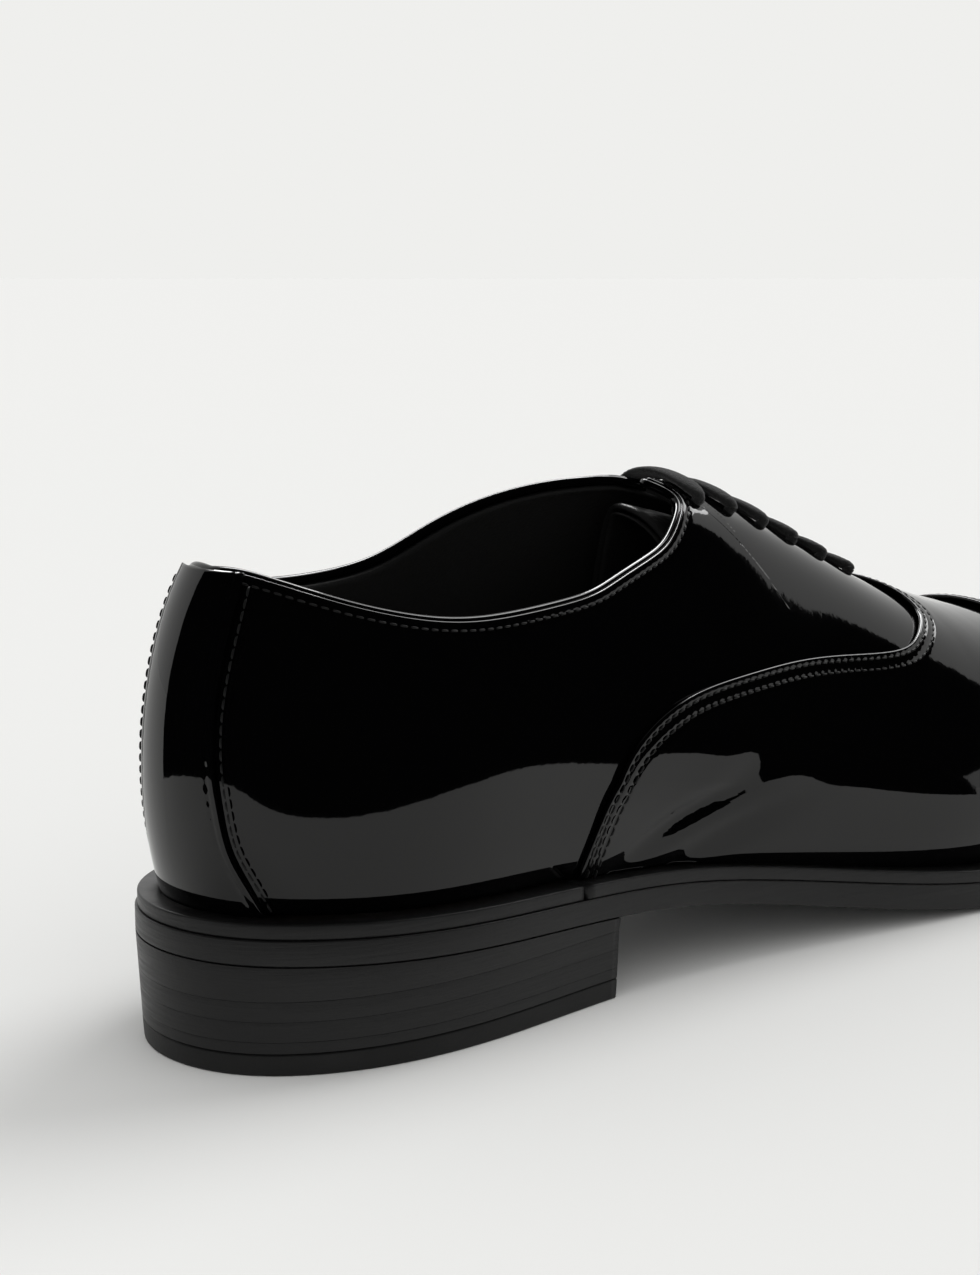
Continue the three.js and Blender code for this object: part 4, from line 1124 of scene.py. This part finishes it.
def finish_cad_nodes():
    """Materials for the hidden pieces that keep their CAD shapes."""
    looks = {"cork_filler": CORK, "steel_shank": STEEL, "heel_counter": BOARD}
    for name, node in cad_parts.items():
        look = looks.get(name, BRASS if name.startswith("heel_nail") else None)
        if look:
            node.data.materials.clear()
            node.data.materials.append(look)


# ---- stage ----------------------------------------------------------------------------------
BACKDROP = (0.863, 0.863, 0.846)
FLOOR = (0.83, 0.83, 0.815)
SUN = 1.25
FILL = 0.77


def step(tree, value, at, width):
    """0 below at, 1 above it, with a soft edge."""
    node = tree.nodes.new("ShaderNodeMapRange")
    node.interpolation_type = "SMOOTHSTEP"
    node.inputs["From Min"].default_value, node.inputs["From Max"].default_value = at - width, at + width
    tree.links.new(value, node.inputs["Value"])
    return node.outputs["Result"]


def only_mirrored(obj):
    """Seen in the patent's gloss and nowhere else."""
    obj.visible_camera = obj.visible_diffuse = obj.visible_shadow = obj.visible_transmission = False


def shape(name, points, faces, look):
    mesh = bpy.data.meshes.new(name)
    mesh.from_pydata(points, [], faces)
    mesh.materials.append(look)
    return placed(name, mesh)


def build_floor():
    r, n = 60.0, 96
    ring = [(r * math.cos(2 * math.pi * k / n), r * math.sin(2 * math.pi * k / n), 0) for k in range(n)]
    paper = material("floor_paper", FLOOR, 1.0, specular=0.0)[0]
    shape("floor", ring, [list(range(n))], paper)


def build_curtain():
    """Black curtain that the patent mirrors: an arc round the heel, then straight along the outer
    side, where its forward end is cut away on a slant to let a pale wedge in."""
    centre, radius, front, top, lift = (-0.25, 0.04), 0.15, -0.30, 5.0, 0.0005
    arc = [math.radians(a) for a in range(100, 261, 20)]
    foot = [(centre[0] + radius * math.cos(a), centre[1] + radius * math.sin(a)) for a in arc]
    foot.append((0.26, front))
    points = [(x, y, z) for z in (lift, top) for x, y in foot]
    faces = [[i, i + 1, i + 1 + len(foot), i + len(foot)] for i in range(len(foot) - 1)]
    base = len(points)
    cut = [(0.26, lift), (0.27, 0.07), (3.2, 2.3), (3.2, top), (0.26, top)]
    points += [(x, front, z) for x, z in cut]
    faces.append(list(range(base, len(points))))
    black = material("black_cloth", (0.001, 0.001, 0.001), 1.0, specular=0.0)[0]
    curtain = shape("black_curtain", points, faces, black)
    only_mirrored(curtain)


def build_world():
    """Pale all round for the camera and a pale fill; mirrored, it darkens overhead."""
    world = bpy.data.worlds.new("studio")
    bpy.context.scene.world = world
    world.use_nodes = True
    tree = world.node_tree
    tree.nodes.clear()
    out = tree.nodes.new("ShaderNodeOutputWorld")

    def background(color, strength=1.0):
        node = tree.nodes.new("ShaderNodeBackground")
        node.inputs["Color"].default_value = (*color, 1)
        node.inputs["Strength"].default_value = strength
        return node

    def blend(mask, a, b):
        node = tree.nodes.new("ShaderNodeMixShader")
        tree.links.new(mask, node.inputs["Fac"])
        tree.links.new(a, node.inputs[1])
        tree.links.new(b, node.inputs[2])
        return node.outputs[0]

    coord = tree.nodes.new("ShaderNodeTexCoord")
    path = tree.nodes.new("ShaderNodeLightPath")
    split = tree.nodes.new("ShaderNodeSeparateXYZ")
    tree.links.new(coord.outputs["Generated"], split.inputs[0])
    round_about, above = background((0.80, 0.80, 0.79)), background((0.18, 0.18, 0.18))
    mirrored = blend(step(tree, split.outputs[2], 0.75, 0.3), round_about.outputs[0], above.outputs[0])
    lit = blend(path.outputs["Is Diffuse Ray"], mirrored, background((1, 1, 1), FILL).outputs[0])
    shown = blend(path.outputs["Is Camera Ray"], lit, background(BACKDROP).outputs[0])
    tree.links.new(shown, out.inputs["Surface"])


def build_lights():
    """A broad key from ahead of the toe and a strip behind for a streak along the ridge."""
    sun = bpy.data.lights.new("key", "SUN")
    sun.energy, sun.angle = SUN, math.radians(34)
    light = placed("key", sun)
    light.rotation_euler = Vector((-0.70, -0.05, -0.72)).to_track_quat("-Z", "Y").to_euler()

    strip = bpy.data.lights.new("strip", "AREA")
    strip.shape, strip.size, strip.size_y, strip.energy = "RECTANGLE", 1.2, 0.35, 24
    box = placed("strip", strip)
    box.location = (0.5, 0.9, 1.3)
    box.rotation_euler = (Vector((0, 0, 0.05)) - box.location).to_track_quat("-Z", "Y").to_euler()
    box.visible_diffuse = False


def build_camera():
    azimuth, elevation, lens = math.radians(42.5), math.radians(9.661), 60.41
    place = to_row((-210.324, -316.633, 142.589))
    data = bpy.data.cameras.new("camera")
    data.lens, data.sensor_width, data.clip_start = lens, 36.0, 0.01
    cam = placed("camera", data)
    cam.location = place
    cam.rotation_euler = (math.pi / 2 - elevation, 0, -azimuth)
    bpy.context.scene.camera = cam
    bpy.context.scene.view_settings.view_transform = "Standard"


build_vamp()
build_cap()
build_quarters()
build_back_strip()
build_bead()
build_linings()
build_tongue()
build_eyelets()
build_lace()
build_heel()
build_sole()
build_insole()
finish_cad_nodes()
build_floor()
build_curtain()
build_world()
build_lights()
build_camera()
